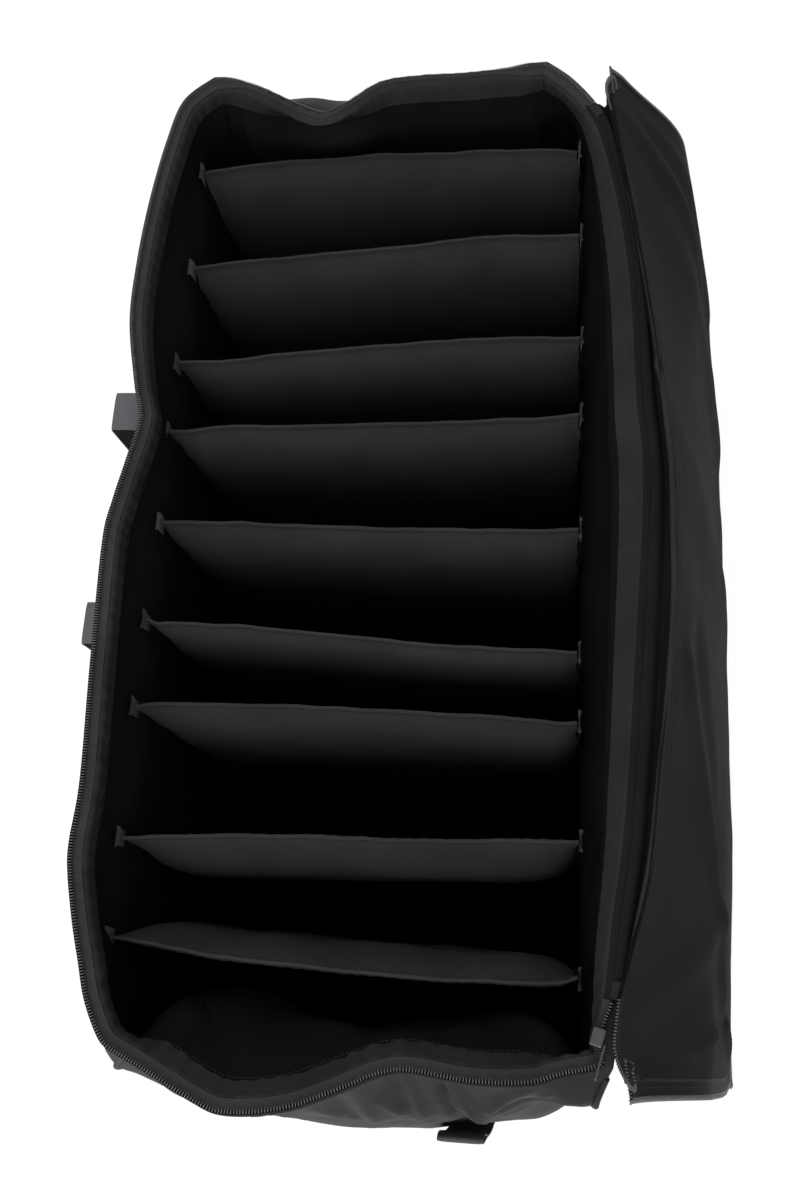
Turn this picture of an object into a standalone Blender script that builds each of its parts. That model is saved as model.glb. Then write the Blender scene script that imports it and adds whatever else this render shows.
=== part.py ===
"""Long padded equipment bag: open top, nine loose dividers, and a zip-round lid hanging open.

Metres, +Z up. The origin is the middle of the base's underside. +X is the hinge side, -X the front,
+Y the far end. Soft panels are plain padded slabs here, in the shape that they hold when filled.
"""

import math

import bmesh
import bpy
from mathutils import Matrix, Vector

# Driving sizes of the bag
BASE_HALF_WIDTH = 0.196
BASE_HALF_LENGTH = 0.470
CORNER_RADIUS = 0.050
WALL_TOP = 0.450
WALL_THICKNESS = 0.010
DIVIDER_DROP = 0.042
HINGE_STAND_OUT = 0.062
HINGE_RISE = 0.020
LID_OVERREACH = 0.010
LID_OPEN = math.radians(258.5)

# Places that follow from them
DIVIDER_TOP = WALL_TOP - DIVIDER_DROP
HINGE_X = BASE_HALF_WIDTH + HINGE_STAND_OUT
HINGE_Z = WALL_TOP + HINGE_RISE
LID_REACH = HINGE_X + BASE_HALF_WIDTH + LID_OVERREACH

# Clearance between pieces that touch, and how far a cutter runs past what it cuts
GAP = 0.0003
OVERRUN = 0.002

EIGHTH_TURN = math.pi / 4

for old in list(bpy.data.objects):
    bpy.data.objects.remove(old, do_unlink=True)

bag = bpy.data.collections.new("drum_kit_bag")
cutters = bpy.data.collections.new("cutters")
bpy.context.scene.collection.children.link(bag)
bpy.context.scene.collection.children.link(cutters)
cutters.hide_render = True


def make_material(name, colour, roughness, metallic=0.0):
    """A plain finish for one kind of cloth, tape or metal."""
    finish = bpy.data.materials.new(name)
    finish.use_nodes = True
    shader = finish.node_tree.nodes["Principled BSDF"]
    shader.inputs["Base Color"].default_value = (*colour, 1.0)
    shader.inputs["Roughness"].default_value = roughness
    shader.inputs["Metallic"].default_value = metallic
    return finish


NYLON = make_material("outer_nylon", (0.016, 0.017, 0.019), 0.62)
LINING = make_material("brushed_lining", (0.010, 0.011, 0.012), 0.85)
TAPE = make_material("zip_tape", (0.013, 0.014, 0.015), 0.75)
TEETH = make_material("zip_coil", (0.020, 0.021, 0.022), 0.35)
WEBBING = make_material("webbing", (0.030, 0.032, 0.034), 0.70)
METAL = make_material("nickel", (0.60, 0.60, 0.60), 0.25, 1.0)


def mix(low, high, share=0.5):
    """The value that lies this share of the way from low to high, or in the middle."""
    return low + (high - low) * share


def add_object(name, mesh, finish, parent=None):
    """Puts a mesh in the bag's collection, on its parent if it has one."""
    obj = bpy.data.objects.new(name, mesh)
    mesh.materials.append(finish)
    bag.objects.link(obj)
    obj.parent = parent
    return obj


def slab(name, columns, rows, place, finish, parent=None):
    """A closed slab: a flat grid given a thickness, each corner then moved to place(u, v, w)."""
    bm = bmesh.new()
    bmesh.ops.create_grid(bm, x_segments=columns, y_segments=rows, size=0.5)
    raised = bmesh.ops.extrude_face_region(bm, geom=bm.faces[:], use_keep_orig=True)
    tops = [item for item in raised["geom"] if isinstance(item, bmesh.types.BMVert)]
    bmesh.ops.translate(bm, verts=tops, vec=(0, 0, 1))
    for vert in bm.verts:
        u, v, w = vert.co.x + 0.5, vert.co.y + 0.5, vert.co.z
        vert.co = place(u, v, w)
    bmesh.ops.recalc_face_normals(bm, faces=bm.faces[:])
    if bm.calc_volume(signed=True) < 0:
        bmesh.ops.reverse_faces(bm, faces=bm.faces[:])
    mesh = bpy.data.meshes.new(name)
    bm.to_mesh(mesh)
    bm.free()
    return add_object(name, mesh, finish, parent)


def ribbon(name, frames, across, upward, finish, parent=None):
    """A flat band along frames of (point, across axis, upward axis), as wide and high as its two ranges."""

    def place(u, v, w):
        point, side, rise = frames[round(u * (len(frames) - 1))]
        return point + side * mix(*across, w) + rise * mix(*upward, v)

    return slab(name, len(frames) - 1, 1, place, finish, parent)


def tube(name, points, radius, finish, closed=False, parent=None):
    """A round cord of piping along a list of points."""
    curve = bpy.data.curves.new(name, "CURVE")
    curve.dimensions = "3D"
    curve.bevel_depth = radius
    curve.bevel_resolution = PIPING_SIDES_STEP
    curve.use_fill_caps = True
    spline = curve.splines.new("POLY")
    spline.points.add(len(points) - 1)
    for knot, point in zip(spline.points, points):
        knot.co = (*point, 1.0)
    spline.use_cyclic_u = closed
    curve.materials.append(finish)
    obj = bpy.data.objects.new(name, curve)
    bag.objects.link(obj)
    obj.parent = parent
    return obj


def rounded_plate(name, half_x, half_y, radius, low, high, finish):
    """A flat plate with rounded upright corners, from z = low to high."""
    bm = bmesh.new()
    bmesh.ops.create_cube(bm, size=1)
    bmesh.ops.scale(bm, verts=bm.verts[:], vec=(2 * half_x, 2 * half_y, high - low))
    bmesh.ops.translate(bm, verts=bm.verts[:], vec=(0, 0, mix(low, high)))
    upright = [e for e in bm.edges if abs(e.verts[0].co.z - e.verts[1].co.z) > GAP]
    bmesh.ops.bevel(bm, geom=upright, offset=radius, segments=CORNER_STEPS, profile=0.5, affect="EDGES")
    mesh = bpy.data.meshes.new(name)
    bm.to_mesh(mesh)
    bm.free()
    return add_object(name, mesh, finish)


# How the mouth of the bag waves in and out of the base's outline, as shares of one sway,
# at even steps along each wall, going round from the near hinge-side corner
RIM_SWAY = 0.040
FLARE_DROP = 0.090
FLARE_START = WALL_TOP - FLARE_DROP
END_BELLY = 0.024
SWAY_SHARES = {
    "rear": (-0.50, 0.25, 0.48, 0.72, 0.88, 0.98, 1.08, 1.15, 1.22, 1.22, 1.14, 1.08, 1.0, 0.81, 0.54, 0.25, -0.7),
    "far": (-0.70, -0.65, -0.68, -0.73, -0.73, -0.85, -1.52, -1.48, -0.82, -0.48, -0.28),
    "front": (-0.28, 0.2, 0.35, 0.5, 0.55, 0.5, 0.15, 0.15, 0.38, 0.4, 0.35, 0.28, 0.22, 0.25, 0.18, 0.15, -1.02),
    "near": (-1.02, -1.05, -0.65, -0.25, -0.22, -0.5, -0.93, -1.07, -0.98, -1.0, -0.5),
}
BELLY_SHARES = {"rear": 0.0, "far": 0.5, "front": 0.0, "near": 1.0}
# How much of a wall's lean comes late, close under the mouth, where the hanging lid pulls it out
LATE_SHARES = {"rear": 1.0, "far": 0.0, "front": 0.0, "near": 0.0}
WALLS = ("rear", "far", "front", "near")
QUARTER_TURNS = {"rear": 0, "far": 1, "front": 2, "near": 3}

# Rows of corners up each wall, as shares of its height, and columns in each straight and half corner
ROW_SHARES = (0.0, 0.12, 0.28, 0.45, 0.60, 0.70, 0.78, 0.86, 0.94, 1.0)
LONG_COLUMNS = 16
SHORT_COLUMNS = 10
ARC_COLUMNS = 3
CORNER_STEPS = 6
PIPING_SIDES_STEP = 1
SAME_SHARE = 1e-6

BASE_THICKNESS = 0.008
WALL_FOOT = BASE_THICKNESS + GAP


def wall_spans(wall):
    """Half of the straight run along a wall, how far out it stands, and the arc of half a corner."""
    long_side = wall in ("rear", "front")
    straight = (BASE_HALF_LENGTH if long_side else BASE_HALF_WIDTH) - CORNER_RADIUS
    stand = BASE_HALF_WIDTH if long_side else BASE_HALF_LENGTH
    return straight, stand, CORNER_RADIUS * EIGHTH_TURN


def base_outline(wall, t):
    """The base's outline a share t along a wall: the point there and the way out."""
    straight, stand, arc = wall_spans(wall)
    reach = t * 2 * (straight + arc) - straight - arc
    turn = 0.0
    if abs(reach) > straight:
        turn = math.copysign((abs(reach) - straight) / CORNER_RADIUS, reach)
    along = max(-straight, min(straight, reach)) + CORNER_RADIUS * math.sin(turn)
    out = stand - CORNER_RADIUS + CORNER_RADIUS * math.cos(turn)
    spin = Matrix.Rotation(QUARTER_TURNS[wall] * 2 * EIGHTH_TURN, 3, "Z")
    return spin @ Vector((out, along, 0)), spin @ Vector((math.cos(turn), math.sin(turn), 0))


def share_at(shares, t):
    """Reads a row of shares as one smooth curve."""
    place = min(max(t, 0.0), 1.0) * (len(shares) - 1)
    step = min(int(place), len(shares) - 2)
    part = place - step
    before, low = shares[max(step - 1, 0)], shares[step]
    high, after = shares[step + 1], shares[min(step + 2, len(shares) - 1)]
    slope_low, slope_high = (high - before) / 2, (after - low) / 2
    bend = part * part
    return (
        low * (2 * bend * part - 3 * bend + 1)
        + high * (3 * bend - 2 * bend * part)
        + slope_low * (bend * part - 2 * bend + part)
        + slope_high * (bend * part - bend)
    )


def wall_point(wall, t, z, inset=0.0):
    """A point on a wall's outer face, or inset towards the lining, and the way out there."""
    point, out = base_outline(wall, t)
    rise = min(max((z - FLARE_START) / (WALL_TOP - FLARE_START), 0.0), 1.0)
    lean = mix(rise * rise * (3 - 2 * rise), rise * rise, LATE_SHARES[wall] * math.sin(math.pi * t))
    flare = RIM_SWAY * share_at(SWAY_SHARES[wall], t) * lean
    height = min(max((z - WALL_FOOT) / (WALL_TOP - WALL_FOOT), 0.0), 1.0)
    belly = END_BELLY * BELLY_SHARES[wall] * math.sin(math.pi * t) * math.sin(math.pi * height) ** 2
    return point + out * (flare + belly - inset) + Vector((0, 0, z)), out


def wall_columns(wall):
    """Shares along a wall where its columns of corners stand: close in the corners, even between."""
    straight, _, arc = wall_spans(wall)
    total = 2 * (straight + arc)
    middle = LONG_COLUMNS if wall in ("rear", "front") else SHORT_COLUMNS
    first = [arc * i / ARC_COLUMNS / total for i in range(ARC_COLUMNS)]
    between = [(arc + 2 * straight * i / middle) / total for i in range(middle + 1)]
    return first + between + [1 - share for share in reversed(first)]


def row_heights(first=0.0):
    """Heights of a wall's rows of corners, from the row at share first up to the top."""
    return [mix(WALL_FOOT, WALL_TOP, share) for share in ROW_SHARES if share >= first]


def shares_along(wall, low, high):
    """The wall's own columns between two shares along it, with those two at the ends."""
    inner = [t for t in wall_columns(wall) if low + SAME_SHARE < t < high - SAME_SHARE]
    return [(wall, t) for t in [low, *inner, high]]


def wall_along(y):
    """The share along the hinge-side wall at this place on its straight run."""
    straight, _, arc = wall_spans("rear")
    return (y + straight + arc) / (2 * (straight + arc))


def build_wall(wall):
    """One padded side, cut just short of the corner seams."""
    straight, _, arc = wall_spans(wall)
    seam = GAP / (2 * (straight + arc))
    columns = wall_columns(wall)
    columns[0], columns[-1] = seam, 1 - seam
    rows = row_heights()

    def place(u, v, w):
        t, z = columns[round(u * (len(columns) - 1))], rows[round(v * (len(rows) - 1))]
        return wall_point(wall, t, z, w * WALL_THICKNESS)[0]

    slab(wall + "_wall", len(columns) - 1, len(rows) - 1, place, NYLON)


PIPING_RADIUS = 0.0025
PIPING_LEAN_SHARE = 1.1


def build_base():
    """The padded base, the stiff board lying in it, and the piping round its edge."""
    rounded_plate("base_panel", BASE_HALF_WIDTH, BASE_HALF_LENGTH, CORNER_RADIUS, 0, BASE_THICKNESS, NYLON)
    inset = WALL_THICKNESS + GAP
    rounded_plate(
        "base_board",
        BASE_HALF_WIDTH - inset,
        BASE_HALF_LENGTH - inset,
        CORNER_RADIUS - inset,
        BOARD_FOOT,
        BOARD_TOP,
        LINING,
    )
    loop = []
    for wall in WALLS:
        for t in wall_columns(wall)[:-1]:
            point, out = base_outline(wall, t)
            loop.append(point + out * (PIPING_RADIUS + GAP) + Vector((0, 0, BASE_THICKNESS)))
    tube("base_piping", loop, PIPING_RADIUS, NYLON, closed=True)


BOARD_THICKNESS = 0.003
BOARD_FOOT = BASE_THICKNESS + GAP
BOARD_TOP = BOARD_FOOT + BOARD_THICKNESS


def build_corner_piping():
    """Upright piping over the seam at each corner, from the base's piping to the mouth."""
    low = BASE_THICKNESS + 2 * PIPING_RADIUS
    names = {"rear": "near_rear", "far": "far_rear", "front": "far_front", "near": "near_front"}
    for wall, corner in names.items():
        points = []
        for z in [low, *row_heights()[1:]]:
            point, out = wall_point(wall, 0.0, z)
            rise = max(0.0, (z - FLARE_START) / (WALL_TOP - FLARE_START))
            points.append(point + out * (PIPING_RADIUS * (1 + PIPING_LEAN_SHARE * rise) + GAP))
        points[-1].z -= PIPING_RADIUS
        tube("corner_piping_" + corner, points, PIPING_RADIUS, NYLON)


FACING_THICKNESS = 0.0015
FACING_CLEARANCE = 0.0007
FACING_FOOT_SHARE = 0.94
BUTT_SHARE = 0.0005


def build_facing():
    """The hem band sewn inside the mouth, its ends butted at the middle of the hinge side."""
    stops = shares_along("rear", 0.5 + BUTT_SHARE, 1.0)
    for wall in WALLS[1:]:
        stops += shares_along(wall, 0.0, 1.0)[1:]
    stops += shares_along("rear", 0.0, 0.5 - BUTT_SHARE)[1:]
    rows = row_heights(FACING_FOOT_SHARE)
    near_face = WALL_THICKNESS + FACING_CLEARANCE

    def place(u, v, w):
        wall, t = stops[round(u * (len(stops) - 1))]
        z = rows[round(v * (len(rows) - 1))]
        return wall_point(wall, t, z, mix(near_face, near_face + FACING_THICKNESS, w))[0]

    slab("rim_facing", len(stops) - 1, len(rows) - 1, place, LINING)


# The zip runs round three sides and turns both corners onto the hinge side
ZIP_RETURN = 0.110
ZIP_END_Y = BASE_HALF_LENGTH - ZIP_RETURN
TAPE_HEIGHT = 0.0085
TAPE_THICKNESS = 0.0012
TEETH_HEIGHT = 0.0055
TEETH_THICKNESS = 0.003
TAPE_INSET = 0.004
TAPE_FOOT = WALL_TOP + GAP
TAPE_TOP = WALL_TOP + TAPE_HEIGHT
TEETH_FOOT = TAPE_TOP + GAP
TEETH_TOP = TEETH_FOOT + TEETH_HEIGHT
END_TAB_LENGTH = 0.012
END_TAB_THICKNESS = 0.002


def zip_frames(low, high):
    """Frames along the mouth between two places on the hinge side, the long way round."""
    stops = shares_along("rear", wall_along(high), 1.0)
    for wall in WALLS[1:]:
        stops += shares_along(wall, 0.0, 1.0)[1:]
    stops += shares_along("rear", 0.0, wall_along(low))[1:]
    return [mouth_frame(wall, t) for wall, t in stops]


def mouth_frame(wall, t):
    """The mouth's outer edge a share along a wall, at floor height, with the way in and the way up."""
    point, out = wall_point(wall, t, WALL_TOP)
    point.z = 0
    return point, -out, Vector((0, 0, 1))


def build_body_zip():
    """The bag's half of the zip: tape standing on the mouth, teeth along it, and a tab at each end."""
    middle = TAPE_INSET + TAPE_THICKNESS / 2
    tape = (TAPE_INSET, TAPE_INSET + TAPE_THICKNESS)
    teeth = (middle - TEETH_THICKNESS / 2, middle + TEETH_THICKNESS / 2)
    frames = zip_frames(-ZIP_END_Y, ZIP_END_Y)
    ribbon("body_zip_tape", frames, tape, (TAPE_FOOT, TAPE_TOP), TAPE)
    ribbon("body_zip_teeth", frames, teeth, (TEETH_FOOT, TEETH_TOP), TEETH)
    tab = (middle - END_TAB_THICKNESS / 2, middle + END_TAB_THICKNESS / 2)
    for name, sign in (("near", -1), ("far", 1)):
        ends = [sign * (ZIP_END_Y - GAP), sign * (ZIP_END_Y - GAP - END_TAB_LENGTH)]
        frames = [mouth_frame("rear", wall_along(y)) for y in ends]
        ribbon("zip_end_tab_" + name, frames, tab, (TAPE_FOOT, TEETH_FOOT), NYLON)


HINGE_CLOTH = 0.0012
HINGE_HALF_LENGTH = ZIP_END_Y - 2 * GAP - END_TAB_LENGTH
HINGE_LONG_STEPS = 14
HINGE_SHORT_STEPS = 2


def build_hinge_strip():
    """The bag's half of the cloth hinge: it rises from the mouth to just under the line the lid turns on."""

    def place(u, v, w):
        y = mix(-HINGE_HALF_LENGTH, HINGE_HALF_LENGTH, u)
        mouth = wall_point("rear", wall_along(y), WALL_TOP, TAPE_INSET)[0]
        low = WALL_TOP + GAP
        high = HINGE_Z - HINGE_CLOTH * 1.5 - GAP
        edge = HINGE_X - HINGE_CLOTH * 0.5 - GAP
        return Vector((mix(mouth.x, edge, v), y, mix(low, high, v) + w * HINGE_CLOTH))

    slab("hinge_strip", HINGE_LONG_STEPS, HINGE_SHORT_STEPS, place, NYLON)


# Lid sizes, in the lid's own frame: a is the distance from the hinge line, n the way out of its top
LINING_LEVEL = -0.002
LID_THICKNESS = 0.012
LID_CORNER = 0.045
LID_MIDDLE_Y = -0.004
LID_SHORT_OF_END = 0.016
LID_FULL_HALF_LENGTH = BASE_HALF_LENGTH - LID_SHORT_OF_END
LID_DRAW = 0.030
LID_DRAW_REACH = 0.160
LID_SAG = 0.008
BINDING_RADIUS = 0.0025
FLAP_START = 0.0018
FLAP_END = 0.0144
EDGE_TO_TAPE = 2 * BINDING_RADIUS + 2 * GAP
EDGE_TO_TEETH = EDGE_TO_TAPE + TAPE_HEIGHT
LID_BORDER = EDGE_TO_TEETH + GAP + TEETH_HEIGHT
PANEL_START = FLAP_END + 2 * GAP + 2 * BINDING_RADIUS
PANEL_END = LID_REACH - LID_BORDER
PANEL_HALF_LENGTH = LID_FULL_HALF_LENGTH - LID_BORDER
PANEL_HALF_WIDTH = (PANEL_END - PANEL_START) / 2
PANEL_MIDDLE = (PANEL_END + PANEL_START) / 2
LID_ZIP_END = ZIP_END_Y
LID_LONG_STEPS = 12
LID_SHORT_STEPS = 6


def lid_point(a, y, n):
    """A point of the lid: its corners by the hinge are drawn in, and its middle sags a little."""
    ends = (y - LID_MIDDLE_Y) / LID_FULL_HALF_LENGTH
    near_hinge = max(0.0, 1 - a / LID_DRAW_REACH)
    past_hinge = max(0.0, (abs(y) - HINGE_HALF_LENGTH) / (LID_FULL_HALF_LENGTH - HINGE_HALF_LENGTH))
    drawn = LID_DRAW * past_hinge * past_hinge * near_hinge * near_hinge
    across = min(max((a - PANEL_START) / (2 * PANEL_HALF_WIDTH), 0.0), 1.0)
    sag = LID_SAG * math.sin(math.pi * across) * max(0.0, 1 - ends * ends)
    return Vector((-a, y, n + drawn - sag))


def panel_lines(half, steps, stop):
    """Grid lines across the lid panel: even up to a stop, then close in the rounded corners."""
    flat = half - LID_CORNER
    middle = [mix(-stop, stop, i / steps) for i in range(steps + 1)]
    corner = [flat + LID_CORNER * i / ARC_COLUMNS for i in range(0 if stop < flat else 1, ARC_COLUMNS + 1)]
    return [-value for value in reversed(corner)] + middle + corner


def panel_spot(a, y):
    """A spot of the panel from its grid lines, pulled inside the rounded corners, and the way out there."""
    past_a = (abs(a) - PANEL_HALF_WIDTH + LID_CORNER) / LID_CORNER
    past_y = (abs(y) - PANEL_HALF_LENGTH + LID_CORNER) / LID_CORNER
    if past_a <= 0 or past_y <= 0:
        return a, y, math.copysign(past_a > 0, a), math.copysign(past_y > 0, y)
    round_a = math.copysign(past_a * math.sqrt(1 - past_y * past_y / 2), a)
    round_y = math.copysign(past_y * math.sqrt(1 - past_a * past_a / 2), y)
    flat_a = math.copysign(PANEL_HALF_WIDTH - LID_CORNER, a)
    flat_y = math.copysign(PANEL_HALF_LENGTH - LID_CORNER, y)
    return flat_a + LID_CORNER * round_a, flat_y + LID_CORNER * round_y, round_a, round_y


def lid_outline(lines_a, lines_y, grow):
    """Points round the panel's edge, grown outwards, from the middle of the hinge side and back to it."""
    middle = len(lines_y) // 2
    rim = [(lines_a[0], y) for y in lines_y[middle:]]
    rim += [(a, lines_y[-1]) for a in lines_a[1:]]
    rim += [(lines_a[-1], y) for y in reversed(lines_y[:-1])]
    rim += [(a, lines_y[0]) for a in reversed(lines_a[:-1])]
    rim += [(lines_a[0], y) for y in lines_y[1:middle]]
    points = []
    for a, y in rim:
        spot_a, spot_y, out_a, out_y = panel_spot(a, y)
        points.append((PANEL_MIDDLE + spot_a + out_a * grow, LID_MIDDLE_Y + spot_y + out_y * grow))
    return points


def build_lid(hinge):
    """The lid: padded panel, bound edge, its half of the cloth hinge, and its half of the zip."""
    lines_a = panel_lines(PANEL_HALF_WIDTH, LID_SHORT_STEPS, PANEL_HALF_WIDTH - LID_CORNER)
    lines_y = panel_lines(PANEL_HALF_LENGTH, LID_LONG_STEPS, LID_ZIP_END)

    def place_panel(u, v, w):
        a, y = lines_a[round(u * (len(lines_a) - 1))], lines_y[round(v * (len(lines_y) - 1))]
        spot_a, spot_y, _, _ = panel_spot(a, y)
        return lid_point(PANEL_MIDDLE + spot_a, LID_MIDDLE_Y + spot_y, LINING_LEVEL + w * LID_THICKNESS)

    slab("lid_panel", len(lines_a) - 1, len(lines_y) - 1, place_panel, NYLON, hinge)
    edge = lid_outline(lines_a, lines_y, BINDING_RADIUS + GAP)
    loop = [lid_point(a, y, LINING_LEVEL + BINDING_RADIUS) for a, y in edge]
    tube("lid_binding", loop, BINDING_RADIUS, NYLON, closed=True, parent=hinge)

    def place_flap(u, v, w):
        y = mix(-HINGE_HALF_LENGTH, HINGE_HALF_LENGTH, u)
        return lid_point(mix(FLAP_START, FLAP_END, v), y, (w - 0.5) * HINGE_CLOTH)

    slab("lid_hinge_flap", HINGE_LONG_STEPS, 1, place_flap, NYLON, hinge)

    def band(name, near, far, thickness, finish):
        inner, outer = lid_outline(lines_a, lines_y, near), lid_outline(lines_a, lines_y, far)
        keep = [
            i
            for i, (a, y) in enumerate(inner)
            if a > PANEL_START or abs(y - LID_MIDDLE_Y) > LID_ZIP_END - GAP
        ]
        level = LINING_LEVEL + TAPE_THICKNESS

        def place(u, v, w):
            a, y = (inner, outer)[round(w)][keep[round(u * (len(keep) - 1))]]
            return lid_point(a, y, level + (v - 0.5) * thickness)

        slab(name, len(keep) - 1, 1, place, finish, hinge)

    band("lid_zip_tape", EDGE_TO_TAPE, EDGE_TO_TEETH, TAPE_THICKNESS, TAPE)
    band("lid_zip_teeth", EDGE_TO_TEETH + GAP, LID_BORDER, TEETH_THICKNESS, TEETH)


# Dividers, counted from the far end: places as shares of half the bag's length, and how each leans round
DIVIDER_THICKNESS = 0.016
DIVIDER_PLACE_SHARES = (0.814, 0.599, 0.373, 0.220, 0.011, -0.203, -0.348, -0.559, -0.750)
DIVIDER_SKEWS = [math.radians(d) for d in (0.0, 2.6, 1.7, 1.1, -1.2, -4.2, 0.2, 2.0, -1.4)]
DIVIDER_ROUNDING = 0.006
HOOK_THICKNESS = 0.0018
HOOK_WIDTH = 0.028
HOOK_SHORT_OF_TOP = 0.002
HOOK_OUTER = BASE_HALF_WIDTH - WALL_THICKNESS - GAP
DIVIDER_HALF_WIDTH = HOOK_OUTER - HOOK_THICKNESS - GAP
HOOK_FOOT = BOARD_TOP + GAP
DIVIDER_FOOT = HOOK_FOOT + HOOK_THICKNESS + GAP


def build_divider(number, share, skew):
    """A padded divider and the hook tape on its two ends and foot, which grips the lining."""
    lift = bpy.data.objects.new(f"divider_{number}_lift", None)
    bag.objects.link(lift)
    lift.location = (0, share * BASE_HALF_LENGTH, DIVIDER_FOOT)
    bpy.ops.mesh.primitive_cube_add(size=1)
    panel = bpy.context.active_object
    panel.name = f"divider_{number}"
    panel.data.materials.append(LINING)
    for holder in list(panel.users_collection):
        holder.objects.unlink(panel)
    bag.objects.link(panel)
    height = DIVIDER_TOP - DIVIDER_FOOT
    half = DIVIDER_HALF_WIDTH - DIVIDER_THICKNESS / 2 * abs(math.sin(skew))
    panel.data.transform(Matrix.Diagonal((2 * half, DIVIDER_THICKNESS, height, 1)))
    panel.data.transform(Matrix.Translation((0, 0, height / 2)))
    panel.parent = lift
    panel.rotation_euler.z = skew
    rounding = panel.modifiers.new("rounding", "BEVEL")
    rounding.width = DIVIDER_ROUNDING
    rounding.segments = 2
    slant = math.tan(skew)
    mid = HOOK_OUTER - HOOK_THICKNESS / 2
    top = DIVIDER_TOP - HOOK_SHORT_OF_TOP
    low = HOOK_FOOT + HOOK_THICKNESS / 2
    path = [(-mid, top, -1, 0), (-mid, low, -1, -1), (mid, low, 1, -1), (mid, top, 1, 0)]
    frames = []
    for x, z, out_x, out_z in path:
        point = Vector((x, x * slant, z - DIVIDER_FOOT))
        frames.append((point, Vector((0, 1, 0)), Vector((out_x, 0, out_z))))
    half_tape = HOOK_THICKNESS / 2
    ribbon(
        f"divider_{number}_hook_band",
        frames,
        (-HOOK_WIDTH / 2, HOOK_WIDTH / 2),
        (-half_tape, half_tape),
        TAPE,
        lift,
    )


# Webbing handles: legs this far apart, hung from a turned-out fold of the strap sewn to the wall
WEB_WIDTH = 0.038
WEB_THICKNESS = 0.0025
LEG_SPACING = 0.195
LOOP_DROP = 0.160
LOOP_CORNER = 0.045
FOLD_PAST_AXIS = 0.0005
LEG_START = math.hypot(FOLD_PAST_AXIS, WEB_THICKNESS / 2) + GAP
STRAP_FOOT = 0.100
STRAP_EASE = 0.003
FOLD_STEPS = 4
FOLD_RADIUS = 0.012
LOOP_STEPS = 5

# Each handle's line of swing: how far it is below the mouth, and how far it stands out of the base's outline
SWING_DROPS = {"front": 0.048, "rear": 0.098, "near": 0.138, "far": 0.138}
SWING_STAND_OUTS = {"front": 0.042, "rear": 0.036, "near": 0.040, "far": 0.034}
FRONT_HANDLE_MIDDLE = -0.010


def handle_frame(wall):
    """The wall's own directions: out of it and along it."""
    spin = Matrix.Rotation(QUARTER_TURNS[wall] * 2 * EIGHTH_TURN, 3, "Z")
    return spin @ Vector((1, 0, 0)), spin @ Vector((0, 1, 0))


def face_out(wall, t, z, out):
    """How far out a wall's face is at this height, on the flat between its rows of corners."""
    rows = row_heights()
    above = next(i for i, row in enumerate(rows) if row >= z)
    low, high = (wall_point(wall, t, rows[i])[0].dot(out) for i in (above - 1, above))
    return mix(low, high, (z - rows[above - 1]) / (rows[above] - rows[above - 1]))


def sewn_strap(wall, name, along, axis_out, axis_z):
    """Webbing sewn up the wall, its top folded outwards to the line that the handle swings on."""
    straight, stand, arc = wall_spans(wall)
    out, side = handle_frame(wall)
    t = (along + straight + arc) / (2 * (straight + arc))
    lift = GAP + WEB_THICKNESS / 2
    fold_top = axis_z
    fold_low = fold_top - FOLD_RADIUS
    heights = [STRAP_FOOT] + [z for z in row_heights() if STRAP_FOOT < z < fold_low - GAP] + [fold_low]
    path = []
    reach = WEB_WIDTH / 2 / (2 * (straight + arc))
    for z in heights:
        faces = [face_out(wall, edge, z, out) for edge in (t - reach, t, t + reach)]
        rise = max(0.0, (z - FLARE_START) / (WALL_TOP - FLARE_START))
        path.append((max(faces) + lift + STRAP_EASE * rise, z, 1.0, 0.0))
    root = path[-1][0]
    for step in range(1, FOLD_STEPS + 1):
        turn = 2 * EIGHTH_TURN * step / FOLD_STEPS
        path.append(
            (
                root + FOLD_RADIUS * (1 - math.cos(turn)),
                fold_low + FOLD_RADIUS * math.sin(turn),
                math.cos(turn),
                -math.sin(turn),
            )
        )
    path.append((stand + axis_out + FOLD_PAST_AXIS, fold_top, 0.0, -1.0))
    frames = []
    for x, z, lean_out, lean_up in path:
        point = out * x + side * along + Vector((0, 0, z))
        frames.append((point, side, out * lean_out + Vector((0, 0, lean_up))))
    half_web = WEB_THICKNESS / 2
    ribbon(name, frames, (-WEB_WIDTH / 2, WEB_WIDTH / 2), (-half_web, half_web), WEBBING)


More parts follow.
